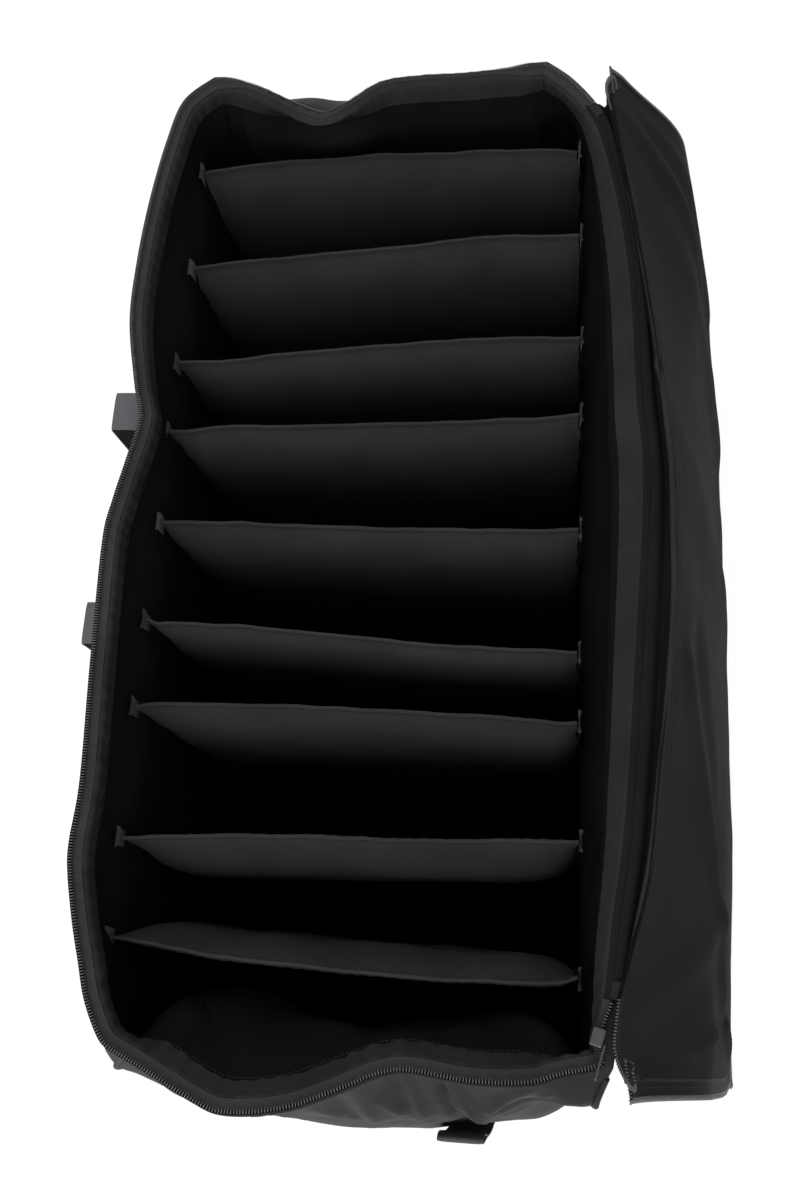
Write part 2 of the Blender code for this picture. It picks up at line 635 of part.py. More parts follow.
def build_handle(wall):
    """A hanging loop of webbing on one wall, with the two straps that carry it."""
    axis_z, axis_out = WALL_TOP - SWING_DROPS[wall], SWING_STAND_OUTS[wall]
    middle = FRONT_HANDLE_MIDDLE if wall == "front" else 0.0
    _, stand, _ = wall_spans(wall)
    out, side = handle_frame(wall)
    half_legs = LEG_SPACING / 2
    for name, sign in (("a", -1), ("b", 1)):
        sewn_strap(wall, f"{wall}_handle_strap_{name}", middle + sign * half_legs, axis_out, axis_z)
    swing = bpy.data.objects.new(wall + "_handle_swing", None)
    bag.objects.link(swing)
    swing.location = out * (stand + axis_out) + side * middle + Vector((0, 0, axis_z))
    path = [(-half_legs, -LEG_START, 1.0, 0.0), (-half_legs, LOOP_CORNER - LOOP_DROP, 1.0, 0.0)]
    for step in range(1, LOOP_STEPS + 1):
        turn = 2 * EIGHTH_TURN * step / LOOP_STEPS
        path.append(
            (
                -half_legs + LOOP_CORNER * (1 - math.cos(turn)),
                LOOP_CORNER - LOOP_DROP - LOOP_CORNER * math.sin(turn),
                math.cos(turn),
                math.sin(turn),
            )
        )
    path += [(-x, z, -c, s) for x, z, c, s in reversed(path)]
    frames = []
    for x, z, across_side, across_up in path:
        width = side * across_side + Vector((0, 0, across_up))
        frames.append((side * x + Vector((0, 0, z)), out, width))
    half_web = WEB_THICKNESS / 2
    ribbon(
        wall + "_handle",
        frames,
        (-half_web, half_web),
        (-WEB_WIDTH / 2, WEB_WIDTH / 2),
        WEBBING,
        swing,
    )


# The slider, parked by the near end of the zip, and its pull
SLIDER_FROM_END = 0.073
SLIDER_Y = SLIDER_FROM_END - BASE_HALF_LENGTH
SLIDER_LENGTH = 0.012
SLIDER_WALL = 0.0022
SLIDER_CLEARANCE = 0.0008
SLIDER_ROOF = 0.0015
SLIDER_ROUNDING = 0.0006
PULL_LENGTH = 0.024
PULL_HEIGHT = 0.007
PULL_THICKNESS = 0.0018
PULL_CLEARANCE = 0.0006


def box_mesh(name, low, high):
    """A box between two corners."""
    bm = bmesh.new()
    bmesh.ops.create_cube(bm, size=1)
    size = [b - a for a, b in zip(low, high)]
    middle = [mix(a, b) for a, b in zip(low, high)]
    bmesh.ops.scale(bm, verts=bm.verts[:], vec=size)
    bmesh.ops.translate(bm, verts=bm.verts[:], vec=middle)
    mesh = bpy.data.meshes.new(name)
    bm.to_mesh(mesh)
    bm.free()
    return mesh


def build_slider():
    """A metal slider astride the teeth, and the pull hinged on its outer plate."""
    step = SLIDER_LENGTH / 2
    stops = wall_columns("rear")
    after = next(i for i, t in enumerate(stops) if t > wall_along(SLIDER_Y))
    middle = TAPE_INSET + TAPE_THICKNESS / 2
    behind, ahead = (wall_point("rear", stops[i], WALL_TOP, middle)[0] for i in (after - 1, after))
    run = bpy.data.objects.new("zip_slider_run", None)
    bag.objects.link(run)
    way = ahead - behind
    centre = behind + way * ((SLIDER_Y - behind.y) / way.y)
    heading = math.atan2(way.y, way.x) - 2 * EIGHTH_TURN
    run.location = (centre.x, centre.y, 0)
    run.rotation_euler.z = heading
    half_slot = TEETH_THICKNESS / 2 + SLIDER_CLEARANCE
    half_width = half_slot + SLIDER_WALL
    slot_top = TEETH_TOP + SLIDER_CLEARANCE / 2
    low, high = TAPE_TOP - SLIDER_CLEARANCE, slot_top + SLIDER_ROOF
    body = add_object(
        "zip_slider", box_mesh("zip_slider", (-half_width, -step, low), (half_width, step, high)), METAL, run
    )
    slot = bpy.data.objects.new(
        "slider_slot",
        box_mesh("slider_slot", (-half_slot, -step - OVERRUN, low - OVERRUN), (half_slot, step + OVERRUN, slot_top)),
    )
    cutters.objects.link(slot)
    slot.parent = run
    slot.hide_render = True
    slot.display_type = "WIRE"
    rounding = body.modifiers.new("rounding", "BEVEL")
    rounding.width = SLIDER_ROUNDING
    rounding.segments = 2
    channel = body.modifiers.new("channel", "BOOLEAN")
    channel.operation = "DIFFERENCE"
    channel.solver = "EXACT"
    channel.object = slot
    hinge = bpy.data.objects.new("slider_pull_hinge", None)
    bag.objects.link(hinge)
    hinge.parent = run
    face = half_width + PULL_CLEARANCE + PULL_THICKNESS / 2
    hinge.location = (face, -step / 2, 0)
    pull_low = low + PULL_CLEARANCE
    pull = add_object(
        "slider_pull",
        box_mesh(
            "slider_pull",
            (-PULL_THICKNESS / 2, -PULL_LENGTH, pull_low),
            (PULL_THICKNESS / 2, 0, pull_low + PULL_HEIGHT),
        ),
        METAL,
        hinge,
    )
    softened = pull.modifiers.new("rounding", "BEVEL")
    softened.width = SLIDER_ROUNDING
    softened.segments = 2


build_base()
for side_name in WALLS:
    build_wall(side_name)
build_corner_piping()
build_facing()
build_body_zip()
build_hinge_strip()

lid_hinge = bpy.data.objects.new("lid_hinge", None)
bag.objects.link(lid_hinge)
lid_hinge.location = (HINGE_X, 0, HINGE_Z)
lid_hinge.rotation_euler.y = LID_OPEN
build_lid(lid_hinge)

for count, (place_share, turn_round) in enumerate(zip(DIVIDER_PLACE_SHARES, DIVIDER_SKEWS), 1):
    build_divider(count, place_share, turn_round)
for side_name in WALLS:
    build_handle(side_name)
build_slider()
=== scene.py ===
import functools
import math

import bmesh
import bpy
from mathutils import Euler, Matrix, Vector, noise


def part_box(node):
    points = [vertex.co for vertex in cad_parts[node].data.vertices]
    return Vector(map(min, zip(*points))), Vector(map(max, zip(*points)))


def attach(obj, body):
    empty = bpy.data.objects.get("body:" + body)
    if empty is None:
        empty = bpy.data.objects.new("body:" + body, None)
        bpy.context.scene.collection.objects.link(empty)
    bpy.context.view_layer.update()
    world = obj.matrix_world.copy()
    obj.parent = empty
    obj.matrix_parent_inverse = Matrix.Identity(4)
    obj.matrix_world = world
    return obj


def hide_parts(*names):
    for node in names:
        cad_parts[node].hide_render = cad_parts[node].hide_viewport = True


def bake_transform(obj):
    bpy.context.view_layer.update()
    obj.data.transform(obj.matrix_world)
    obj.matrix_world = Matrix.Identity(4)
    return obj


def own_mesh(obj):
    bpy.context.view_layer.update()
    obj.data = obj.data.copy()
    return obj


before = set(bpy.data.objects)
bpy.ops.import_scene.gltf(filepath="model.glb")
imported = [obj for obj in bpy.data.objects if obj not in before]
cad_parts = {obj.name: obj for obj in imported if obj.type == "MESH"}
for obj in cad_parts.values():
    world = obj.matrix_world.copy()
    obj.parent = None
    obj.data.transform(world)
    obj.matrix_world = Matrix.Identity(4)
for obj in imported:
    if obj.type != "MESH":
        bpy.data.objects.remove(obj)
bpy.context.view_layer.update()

scene = bpy.context.scene

# The eye: standing at the bag's near end and looking steeply down into the open mouth. Its place is in
# metres, its turns in degrees, its lens and sensor in millimetres.
EYE_PLACE = (0.1837, -0.3580, 1.3192)
EYE_TURNS = (18.1845, 8.2586, 2.9541)
LENS, SENSOR = 34.386, 36.0
eye = bpy.data.objects.new("eye", bpy.data.cameras.new("eye"))
eye.data.sensor_width = SENSOR
eye.data.lens = LENS
eye.location = EYE_PLACE
eye.rotation_euler = Euler([math.radians(turn) for turn in EYE_TURNS])
scene.collection.objects.link(eye)
scene.camera = eye
scene.view_settings.view_transform = "Standard"


# Outer shell: black nylon pack cloth over 10 mm foam, cut as four sides and a base and sewn inside out.
# The mouth is soft, so it waves in and out, and each wall leans from the straight base to meet it.
BASE_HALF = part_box("base_panel")[1]
BASE_TOP = BASE_HALF[2]
CORNER = 0.050
MOUTH_Z = 0.450
PADDING = 0.010
UP = Vector((0, 0, 1))
# The mouth's outline from above, a side at a time: rear (the hinge side), far end, front, near end
MOUTH = (
    ((0.2075, -0.4140), (0.2150, -0.362), (0.220, -0.318), (0.228, -0.262), (0.233, -0.203), (0.237, -0.142),
     (0.241, -0.078), (0.245, -0.012), (0.246, 0.049), (0.242, 0.094), (0.240, 0.159), (0.236, 0.227),
     (0.228, 0.289), (0.218, 0.342), (0.205, 0.384), (0.180, 0.421), (0.155, 0.444)),
    ((0.155, 0.444), (0.111, 0.443), (0.074, 0.441), (0.036, 0.441), (-0.002, 0.436), (-0.034, 0.413),
     (-0.057, 0.402), (-0.087, 0.417), (-0.118, 0.438), (-0.139, 0.449), (-0.165, 0.452)),
    ((-0.165, 0.452), (-0.193, 0.427), (-0.205, 0.381), (-0.214, 0.314), (-0.218, 0.249), (-0.217, 0.186),
     (-0.204, 0.120), (-0.196, 0.088), (-0.203, 0.047), (-0.210, 0.010), (-0.214, -0.027), (-0.210, -0.132),
     (-0.205, -0.230), (-0.207, -0.277), (-0.205, -0.300), (-0.196, -0.337), (-0.187, -0.366),
     (-0.178, -0.394), (-0.163, -0.421), (-0.150, -0.430)),
    ((-0.150, -0.430), (-0.116, -0.445), (-0.089, -0.456), (-0.070, -0.462), (-0.044, -0.461), (-0.015, -0.455),
     (0.006, -0.447), (0.027, -0.438), (0.048, -0.429), (0.069, -0.426), (0.112, -0.431), (0.153, -0.430),
     (0.174, -0.424), (0.188, -0.420), (0.2075, -0.4140)),
)
# How far each side bellies out, and where along the far end its dip is and how wide
BELLY = (0.0, 0.012, 0.0, 0.021)
FAR_DIP = (0.68, 0.15)
# The heights from which a wall leans to the mouth: plainly, late, and its lip
LEAN_FROM, LATE_FROM, LATE_TO, LIP_FROM = 0.360, 0.310, 0.425, 0.424
# Where the walls are pushed in or out under the mouth: place round the bag, half width, height, half height, push
PUSHES = (
    (3.50, 0.45, 0.360, 0.058, (0.0, 0.012)),
    (3.07, 0.08, 0.360, 0.058, (0.003, 0.014)),
    (3.92, 0.07, 0.350, 0.050, (0.0, 0.010)),
    (3.24, 0.09, 0.310, 0.060, (0.0, 0.016)),
    (3.80, 0.10, 0.320, 0.060, (0.0, 0.008)),
    (4.00, 0.06, 0.408, 0.034, (0.004, -0.012)),
    (3.24, 0.11, 0.220, 0.090, (0.0, 0.013)),
    (1.68, 0.17, 0.425, 0.022, (0.0, 0.008)),
)
# Creases of the near end: from (x, z) to (x, z), half width, and how far they stand out or press in
CREASES = (
    ((0.085, 0.445), (0.104, 0.350), 0.004, -0.0060),
    ((0.093, 0.440), (0.118, 0.360), 0.005, 0.0050),
    ((0.120, 0.395), (0.156, 0.440), 0.005, 0.0045),
    ((0.128, 0.385), (0.170, 0.428), 0.004, -0.0040),
    ((0.060, 0.435), (0.072, 0.380), 0.005, 0.0030),
    ((0.052, 0.435), (0.060, 0.370), 0.005, -0.0030),
    ((0.020, 0.440), (0.034, 0.350), 0.007, 0.0035),
    ((0.005, 0.440), (0.014, 0.370), 0.006, -0.0025),
    ((-0.050, 0.440), (-0.030, 0.330), 0.010, 0.0030),
    ((0.150, 0.360), (0.105, 0.320), 0.008, 0.0030),
    ((0.165, 0.400), (0.120, 0.345), 0.005, -0.0030),
    ((0.040, 0.400), (0.090, 0.345), 0.006, 0.0028),
    ((-0.010, 0.400), (0.030, 0.340), 0.007, 0.0024),
)


def ease(value):
    """Rises smoothly from 0 to 1 as the value does."""
    value = min(max(value, 0.0), 1.0)
    return value * value * (3 - 2 * value)


def bell(gap, width):
    """Falls smoothly from 1 towards 0 as the gap passes the width."""
    return math.exp(-((gap / width) ** 2))


def wobble(x, y, z):
    """A soft random number for a place, from about -1 to 1."""
    return noise.noise(Vector((x, y, z)))


def even_points(points, steps):
    """Evenly spaced points on a smooth curve through the given ones."""
    points = [Vector(p) for p in points]
    fine = []
    for i in range(len(points) - 1):
        before, low, high = points[max(i - 1, 0)], points[i], points[i + 1]
        after = points[min(i + 2, len(points) - 1)]
        for k in range(20):
            t = k / 20
            fine.append(
                low * (2 * t**3 - 3 * t * t + 1)
                + high * (3 * t * t - 2 * t**3)
                + (high - before) * 0.5 * (t**3 - 2 * t * t + t)
                + (after - low) * 0.5 * (t**3 - t * t)
            )
    fine.append(points[-1])
    reach = [0.0]
    for a, b in zip(fine, fine[1:]):
        reach.append(reach[-1] + (b - a).length)
    spots, at = [], 0
    for step in range(steps + 1):
        goal = reach[-1] * step / steps
        while at < len(fine) - 2 and reach[at + 1] < goal:
            at += 1
        part = (goal - reach[at]) / max(reach[at + 1] - reach[at], 1e-9)
        spots.append(fine[at].lerp(fine[at + 1], min(part, 1.0)))
    return spots


def read_along(spots, share):
    """The place a share of the way along evenly spaced points."""
    place = min(max(share, 0.0), 1.0) * (len(spots) - 1)
    step = min(int(place), len(spots) - 2)
    return spots[step].lerp(spots[step + 1], place - step)


def heading(spots, share, step):
    """The place a share of the way along evenly spaced points, and the way they run there."""
    way = read_along(spots, share + step) - read_along(spots, share - step)
    return read_along(spots, share), way.normalized()


def run_length(points):
    """How long a line of points is."""
    return sum((b - a).length for a, b in zip(points, points[1:]))


mouth_curves = [even_points(side, 240) for side in MOUTH]
mouth_lengths = [run_length(side) for side in mouth_curves]


def metres_round(around):
    """How far round the mouth a place is, in metres from the near hinge-side corner."""
    lap, place = divmod(around, 4)
    side = int(place)
    return lap * sum(mouth_lengths) + sum(mouth_lengths[:side]) + mouth_lengths[side] * (place - side)


@functools.lru_cache(maxsize=None)
def ring(around):
    """The base's outline and the mouth's at one place round the bag, 0 to 4 from the near hinge-side corner."""
    side, share = int(around % 4), around % 1
    along_half, stand = BASE_HALF[1 - side % 2], BASE_HALF[side % 2]
    straight, arc = along_half - CORNER, CORNER * math.pi / 4
    reach = share * 2 * (straight + arc) - straight - arc
    turn = math.copysign(max(0.0, abs(reach) - straight) / CORNER, reach)
    along = max(-straight, min(straight, reach)) + CORNER * math.sin(turn)
    foot = Vector((stand - CORNER * (1 - math.cos(turn)), along))
    return Matrix.Rotation(side * math.pi / 2, 2) @ foot, read_along(mouth_curves[side], share)


def lateness(side, share):
    """How late a wall leans over, from 0 to 1: the hinge side, the far end's dip, the near end's last part."""
    if side == 0:
        return ease(4 * math.sin(math.pi * share)) if share > 0.5 else 1.0
    if side == 1:
        return bell(share - FAR_DIP[0], FAR_DIP[1])
    return ease((share - 0.82) / 0.12) if side == 3 else 0.0


def outline_at(around, z):
    """The shell's outer face at one place round the bag and one height, before its small folds."""
    foot, rim = ring(around)
    side, share = int(around % 4), around % 1
    plain = ease((z - LEAN_FROM) / (MOUTH_Z - LEAN_FROM))
    lip = max(0.0, (z - LIP_FROM) / (MOUTH_Z - LIP_FROM)) ** 1.3
    late = 0.5 * ease((z - LATE_FROM) / (LATE_TO - LATE_FROM)) + 0.5 * lip
    lean = plain + (late - plain) * lateness(side, share)
    spot = foot.lerp(rim, min(lean, 1.4 if z > MOUTH_Z else 1.0))
    if BELLY[side]:
        out = Vector((0, 1 if side == 1 else -1))
        rise = min(max((z - BASE_TOP) / (MOUTH_Z - BASE_TOP), 0.0), 1.0)
        full = math.sin(math.pi * share) * math.sin(math.pi * min(rise * 0.88 + 0.02, 1.0)) ** 1.5
        spot = spot + out * (BELLY[side] * full)
    place = around % 4 + (4 if around % 4 < 1 else 0)
    for at, width, height, tall, push in PUSHES:
        spot = spot + Vector(push) * (bell(place - at, width) * bell(z - height, tall))
    return spot


def wall_at(around, z, inset=0.0):
    """A point of the bag's wall that far inside its outer face, and the level way out there."""
    ahead, behind = outline_at(around + 0.012, z), outline_at(around - 0.012, z)
    out = Vector((ahead.y - behind.y, behind.x - ahead.x)).normalized()
    spot = outline_at(around, z) - out * inset
    return Vector((spot.x, spot.y, z)), Vector((out.x, out.y, 0))


def crease_depth(x, z, creases):
    """How far a face stands out at this place, from its list of creases."""
    depth = 0.0
    for start, end, width, height in creases:
        line = Vector(end) - Vector(start)
        share = (Vector((x, z)) - Vector(start)).dot(line) / line.length_squared
        gap = (Vector((x, z)) - Vector(start).lerp(Vector(end), min(max(share, 0.0), 1.0))).length
        fade = ease(1.25 * min(share + 0.3, 1.3 - share) / 0.5) if -0.3 < share < 1.3 else 0.0
        depth += height * fade * bell(gap, width)
    return depth


def slack(spot, size, seed):
    """A soft random wave of loose cloth, from about -1 to 1."""
    broad = noise.noise(spot / size + Vector((seed, 2.3 * seed, 0)))
    return broad + 0.4 * noise.noise(spot / size * 2.3 + Vector((0, seed, 7)))


def newly_grown(bm, edges):
    """Extrudes a ring of edges: the new corners, and the new edges between them."""
    grown = bmesh.ops.extrude_edge_only(bm, edges=edges)["geom"]
    verts = [g for g in grown if isinstance(g, bmesh.types.BMVert)]
    fresh = set(verts)
    return verts, [g for g in grown if isinstance(g, bmesh.types.BMEdge) and all(v in fresh for v in g.verts)]


def sewn_sheet(name, columns, rows, place, finish, body, ring_shaped=False):
    """A closed sheet of cloth: a grid or a ring, doubled for its thickness, each corner moved to place(u, v, w).

    Its UV map is in metres along the cloth.
    """
    bm = bmesh.new()
    if ring_shaped:
        bmesh.ops.create_circle(bm, segments=columns, radius=1)
        edges = bm.edges[:]
        for _ in range(rows):
            verts, edges = newly_grown(bm, edges)
            bmesh.ops.translate(bm, verts=verts, vec=(0, 0, 1))
    else:
        bmesh.ops.create_grid(bm, x_segments=columns, y_segments=rows, size=0.5)
    raised = bmesh.ops.extrude_face_region(bm, geom=bm.faces[:], use_keep_orig=True)["geom"]
    tops = [g for g in raised if isinstance(g, bmesh.types.BMVert)]
    if ring_shaped:
        bmesh.ops.scale(bm, verts=tops, vec=(2, 2, 1))
    else:
        bmesh.ops.translate(bm, verts=tops, vec=(0, 0, 1))
    spots = {}
    for vert in bm.verts:
        if ring_shaped:
            u = round(math.atan2(vert.co.y, vert.co.x) / (2 * math.pi) * columns) % columns / columns
            spots[vert] = (u, vert.co.z / rows, round(vert.co.xy.length - 1))
        else:
            spots[vert] = (vert.co.x + 0.5, vert.co.y + 0.5, vert.co.z)
    length = run_length([place(i / 40, 0.5, 0) for i in range(41)])
    height = run_length([place(0.3, i / 40, 0) for i in range(41)])
    cloth = bm.loops.layers.uv.new("cloth")
    for face in bm.faces:
        us = [spots[loop.vert][0] for loop in face.loops]
        wrap = ring_shaped and max(us) - min(us) > 0.5
        for loop in face.loops:
            u, v, w = spots[loop.vert]
            loop[cloth].uv = ((u + (1 if wrap and u < 0.5 else 0)) * length, v * height + w * 0.001)
    for vert, spot in spots.items():
        vert.co = place(*spot)
    bmesh.ops.recalc_face_normals(bm, faces=bm.faces[:])
    if bm.calc_volume(signed=True) < 0:
        bmesh.ops.reverse_faces(bm, faces=bm.faces[:])
    return finished(name, bm, finish, body)


def finished(name, bm, finish, body, sharp=50):
    """Turns a bmesh into a smooth-shaded piece that rides on its body, if it has just one."""
    mesh = bpy.data.meshes.new(name)
    bm.to_mesh(mesh)
    bm.free()
    mesh.shade_smooth()
    mesh.set_sharp_from_angle(angle=math.radians(sharp))
    mesh.materials.append(finish)
    piece = bpy.data.objects.new(name, mesh)
    scene.collection.objects.link(piece)
    if body:
        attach(piece, body)
    return piece


def start_finish(name):
    """A new material, its node tree and its shader."""
    finish = bpy.data.materials.new(name)
    finish.use_nodes = True
    return finish, finish.node_tree, finish.node_tree.nodes["Principled BSDF"]


def set_inputs(tree, node, inputs):
    """Gives a node's inputs their values, or links them to another node's output."""
    for socket, value in inputs.items():
        if isinstance(value, bpy.types.NodeSocket):
            tree.links.new(value, node.inputs[socket])
        else:
            node.inputs[socket].default_value = value


def add_node(tree, kind, inputs, **settings):
    """A new shader node with its settings and its inputs."""
    node = tree.nodes.new("ShaderNode" + kind)
    for setting, value in settings.items():
        setattr(node, setting, value)
    set_inputs(tree, node, inputs)
    return node


def two_tones(tree, factor, low, high, places):
    """A ramp between two colours."""
    ramp = add_node(tree, "ValToRGB", {"Fac": factor})
    for step, place, colour in zip(ramp.color_ramp.elements, places, (low, high)):
        step.position = place
        step.color = (*colour, 1)
    return ramp.outputs["Color"]


def cloth_finish(name, colour, roughness, gloss, thread, weave, mottle, worn=0.0, colour_above=None):
    """Woven cloth: two crossing thread waves on the UV map, soft creasing, and dusty or worn patches.

    The last argument is a height, a colour and a reach: above that height the cloth turns to that colour. On the
    mouth's tape this darker top is painted shade under the coil.
    """
    finish, tree, shader = start_finish(name)
    where = add_node(tree, "TexCoord", {}).outputs
    wave = {"Scale": 0.314 / thread, "Distortion": 1.2, "Detail": 1.0, "Detail Scale": 0.6, "Vector": where["UV"]}
    warp, weft = (add_node(tree, "TexWave", wave, bands_direction=way).outputs["Fac"] for way in "XY")
    crossed = add_node(tree, "Math", {0: warp, 1: weft}, operation="MULTIPLY").outputs["Value"]
    patches = add_node(tree, "TexNoise", {"Scale": 14.0, "Detail": 6.0, "Vector": where["Object"]}).outputs["Fac"]
    dark, light = [c * (1 - mottle) for c in colour], [c * (1 + mottle) + worn for c in colour]
    tint = two_tones(tree, patches, dark, light, (0.30, 0.72))
    bright = add_node(tree, "MapRange", {"Value": crossed, "To Min": 0.55, "To Max": 1.35}).outputs["Result"]
    shade = add_node(tree, "Mix", {}, data_type="RGBA", blend_type="MULTIPLY")
    set_inputs(tree, shade, {"Factor": 0.45, "A": tint, "B": bright})
    if colour_above:
        height, top_colour, reach = colour_above
        z = add_node(tree, "SeparateXYZ", {"Vector": where["Object"]}).outputs["Z"]
        above = add_node(tree, "MapRange", {"Value": z, "From Min": height - reach, "From Max": height + reach})
        ends = {"Factor": above.outputs["Result"], "A": shade.outputs["Result"], "B": (*top_colour, 1)}
        shade = add_node(tree, "Mix", ends, data_type="RGBA")
    soft = add_node(tree, "TexNoise", {"Scale": 90.0, "Detail": 4.0, "Vector": where["Object"]}).outputs["Fac"]
    creased = add_node(tree, "Bump", {"Strength": 0.25, "Distance": 0.0012, "Height": soft}).outputs["Normal"]
    threads = {"Strength": weave, "Distance": 0.0003, "Height": crossed, "Normal": creased}
    set_inputs(tree, shader, {
        "Base Color": shade.outputs["Result"], "Roughness": roughness, "Specular IOR Level": gloss,
        "Normal": add_node(tree, "Bump", threads).outputs["Normal"],
    })
    return finish


pack_cloth = cloth_finish("pack_cloth", (0.0250, 0.0259, 0.0276), 0.52, 0.10, 0.0011, 0.5, 0.12)

SHELL_COLUMNS, SHELL_ROWS = 480, 72
SHELL_SKIN = 0.0044
SHELL_SLACK = 0.0020
WALL_FOOT = BASE_TOP + 0.0003


def row_height(v, low, high):
    """A wall's rows stand closer together towards the mouth."""
    return low + (high - low) * (1 - (1 - v) ** 1.35)


def place_shell(u, v, w):
    around, z = u * 4, row_height(v, WALL_FOOT, MOUTH_Z)
    spot, out = wall_at(around, z, w * SHELL_SKIN)
    if w:
        return spot
    rise = ease((z - 0.02) / 0.10) * ease((MOUTH_Z + 0.004 - z) / 0.03)
    wave = SHELL_SLACK * slack(Vector((spot.x, spot.y, z * 0.6)), 0.09, 3.0)
    if int(around % 4) == 3:
        wave += crease_depth(spot.x, z, CREASES) + SHELL_SLACK / 2 * slack(Vector((spot.x, spot.y, z)), 0.022, 6.0)
    return spot + out * (wave * rise)


outer_shell = sewn_sheet("outer_shell", SHELL_COLUMNS, SHELL_ROWS, place_shell, pack_cloth, "bag", True)
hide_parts("rear_wall", "far_wall", "front_wall", "near_wall")


# Lining: brushed black cloth glued to the inside of the foam, with a turned seam up each corner.
# It wrinkles a little where the walls buckle, and it is dull. Its colour is painted shade, a third as light as the
# dividers' brushed cloth, so the hollow goes black quickly.
shaded_lining_cloth = cloth_finish("shaded_lining_cloth", (0.0130, 0.0133, 0.0141), 0.80, 0.0, 0.0012, 0.45, 0.15)
LINING_FOOT, LINING_TOP = BASE_TOP + 0.0006, 0.4495
LINING_SLUMP = (0.0, 0.034, 0.0, 0.064)
LINING_GAP = 0.0006
SEAM_RIDGE = 0.0030
LINING_SLACK = 0.0016
LINING_FOLDS = (
    ((-0.120, 0.300), (0.010, 0.390), 0.018, 0.0050),
    ((-0.060, 0.250), (0.080, 0.330), 0.022, 0.0060),
    ((0.040, 0.420), (0.010, 0.300), 0.014, -0.0035),
    ((0.100, 0.410), (0.150, 0.280), 0.016, 0.0045),
    ((-0.140, 0.420), (-0.090, 0.330), 0.014, 0.0040),
)


def lining_slump(around, z):
    """How far the inner face has slumped in from the wall, most at the two ends just under the rim."""
    side, share = int(around % 4), around % 1
    corner = min(share, 1 - share)
    rise = min(max((z - BASE_TOP) / (LINING_TOP - BASE_TOP), 0.0), 1.0)
    return LINING_SLUMP[side] * ease(11 * corner) * math.sin(math.pi * rise**2.2) ** 1.1


def place_lining(u, v, w):
    around, z = u * 4, row_height(v, LINING_FOOT, LINING_TOP)
    outer = SHELL_SKIN + LINING_GAP
    spot, out = wall_at(around, z, outer + w * (PADDING - outer))
    if not w:
        return spot
    corner = abs(around - round(around))
    ridge = SEAM_RIDGE * bell(corner, 0.010)
    wave = LINING_SLACK * (slack(Vector((spot.x, spot.y, z * 0.8)), 0.06, 9.0) - 0.5)
    if int(around % 4) == 3:
        wave += crease_depth(spot.x, z, LINING_FOLDS)
    wave *= ease((LINING_TOP - 0.02 - z) / 0.03) * ease((z - 0.02) / 0.05)
    return spot - out * (ridge + lining_slump(around, z) + wave)


lining = sewn_sheet("lining", SHELL_COLUMNS, 60, place_lining, shaded_lining_cloth, "bag", True)


# Base: a padded panel of the same nylon with its edge rolled, and a stiff board lying loose on it.
BASE_ROUND = 0.003
BOARD_ROUND = 0.0012
BOARD_GAP = 0.001


def rounded_panel(name, half_x, half_y, radius, low, high, edge, finish):
    """A flat pad with rounded corners and rolled edges."""
    bm = bmesh.new()
    bmesh.ops.create_cube(bm, size=1)
    bmesh.ops.scale(bm, verts=bm.verts[:], vec=(2 * half_x, 2 * half_y, high - low))
    bmesh.ops.translate(bm, verts=bm.verts[:], vec=(0, 0, (low + high) / 2))
    upright = [e for e in bm.edges if abs(e.verts[0].co.z - e.verts[1].co.z) > 0.001]
    bmesh.ops.bevel(bm, geom=upright, offset=radius, segments=14, profile=0.5, affect="EDGES", material=-1)
    flat = [e for e in bm.edges if abs(e.verts[0].co.z - e.verts[1].co.z) < 1e-6 and len(e.link_faces) == 2]
    bmesh.ops.bevel(bm, geom=flat, offset=edge, segments=3, profile=0.5, affect="EDGES", material=-1)
    cloth = bm.loops.layers.uv.new("cloth")
    for face in bm.faces:
        for loop in face.loops:
            loop[cloth].uv = loop.vert.co.xy
    bmesh.ops.recalc_face_normals(bm, faces=bm.faces[:])
    return finished(name, bm, finish, "bag", 60)


base_pad = rounded_panel("base_pad", BASE_HALF[0], BASE_HALF[1], CORNER, 0.0, BASE_TOP, BASE_ROUND, pack_cloth)
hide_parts("base_panel")
board_low, board_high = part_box("base_board")
# The board is covered in the lining's cloth, so its dark colour is painted shade too.
board = rounded_panel(
    "lined_board", board_high[0] - BOARD_GAP, board_high[1] - BOARD_GAP, CORNER - PADDING - BOARD_GAP,
    board_low[2], board_high[2], BOARD_ROUND, shaded_lining_cloth,
)
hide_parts("base_board")


# Piping: nylon bias over a cord, sewn into the seam round the base and up the four corners.
PIPING = 0.0025
CORD_SIDES = 10


def cord_along(name, points, radius, finish, body, closed=False):
    """A round cord: one ring of corners pushed along a list of points, turning with its way."""
    bm = bmesh.new()
    bmesh.ops.create_circle(bm, segments=CORD_SIDES, radius=radius, cap_ends=not closed)
    edges, ring_verts, spots = bm.edges[:], bm.verts[:], {}
    last, way, reach = Matrix.Identity(4), UP, 0.0
    turn = way.rotation_difference(points[1] - points[0]).to_matrix().to_4x4()
    for i, point in enumerate(points):
        ahead = points[(i + 1) % len(points)] if closed else points[min(i + 1, len(points) - 1)]
        behind = points[i - 1] if closed or i else point
        new_way = (ahead - behind).normalized()
        if i:
            turn = way.rotation_difference(new_way).to_matrix().to_4x4() @ turn
            ring_verts, edges = newly_grown(bm, edges)
            reach += (point - points[i - 1]).length
        place = Matrix.Translation(point) @ turn
        bmesh.ops.transform(bm, matrix=place @ last.inverted(), verts=ring_verts)
        for vert in ring_verts:
            beside = place.inverted() @ vert.co
            spots[vert] = (reach, math.atan2(beside.y, beside.x) * radius)
        last, way = place, new_way
    if closed:
        bmesh.ops.bridge_loops(bm, edges=[e for e in bm.edges if e.is_boundary])
    else:
        bmesh.ops.contextual_create(bm, geom=edges)
    cloth = bm.loops.layers.uv.new("cloth")
    for face in bm.faces:
        for loop in face.loops:
            loop[cloth].uv = spots[loop.vert]
    bmesh.ops.recalc_face_normals(bm, faces=bm.faces[:])
    return finished(name, bm, finish, body, 60)


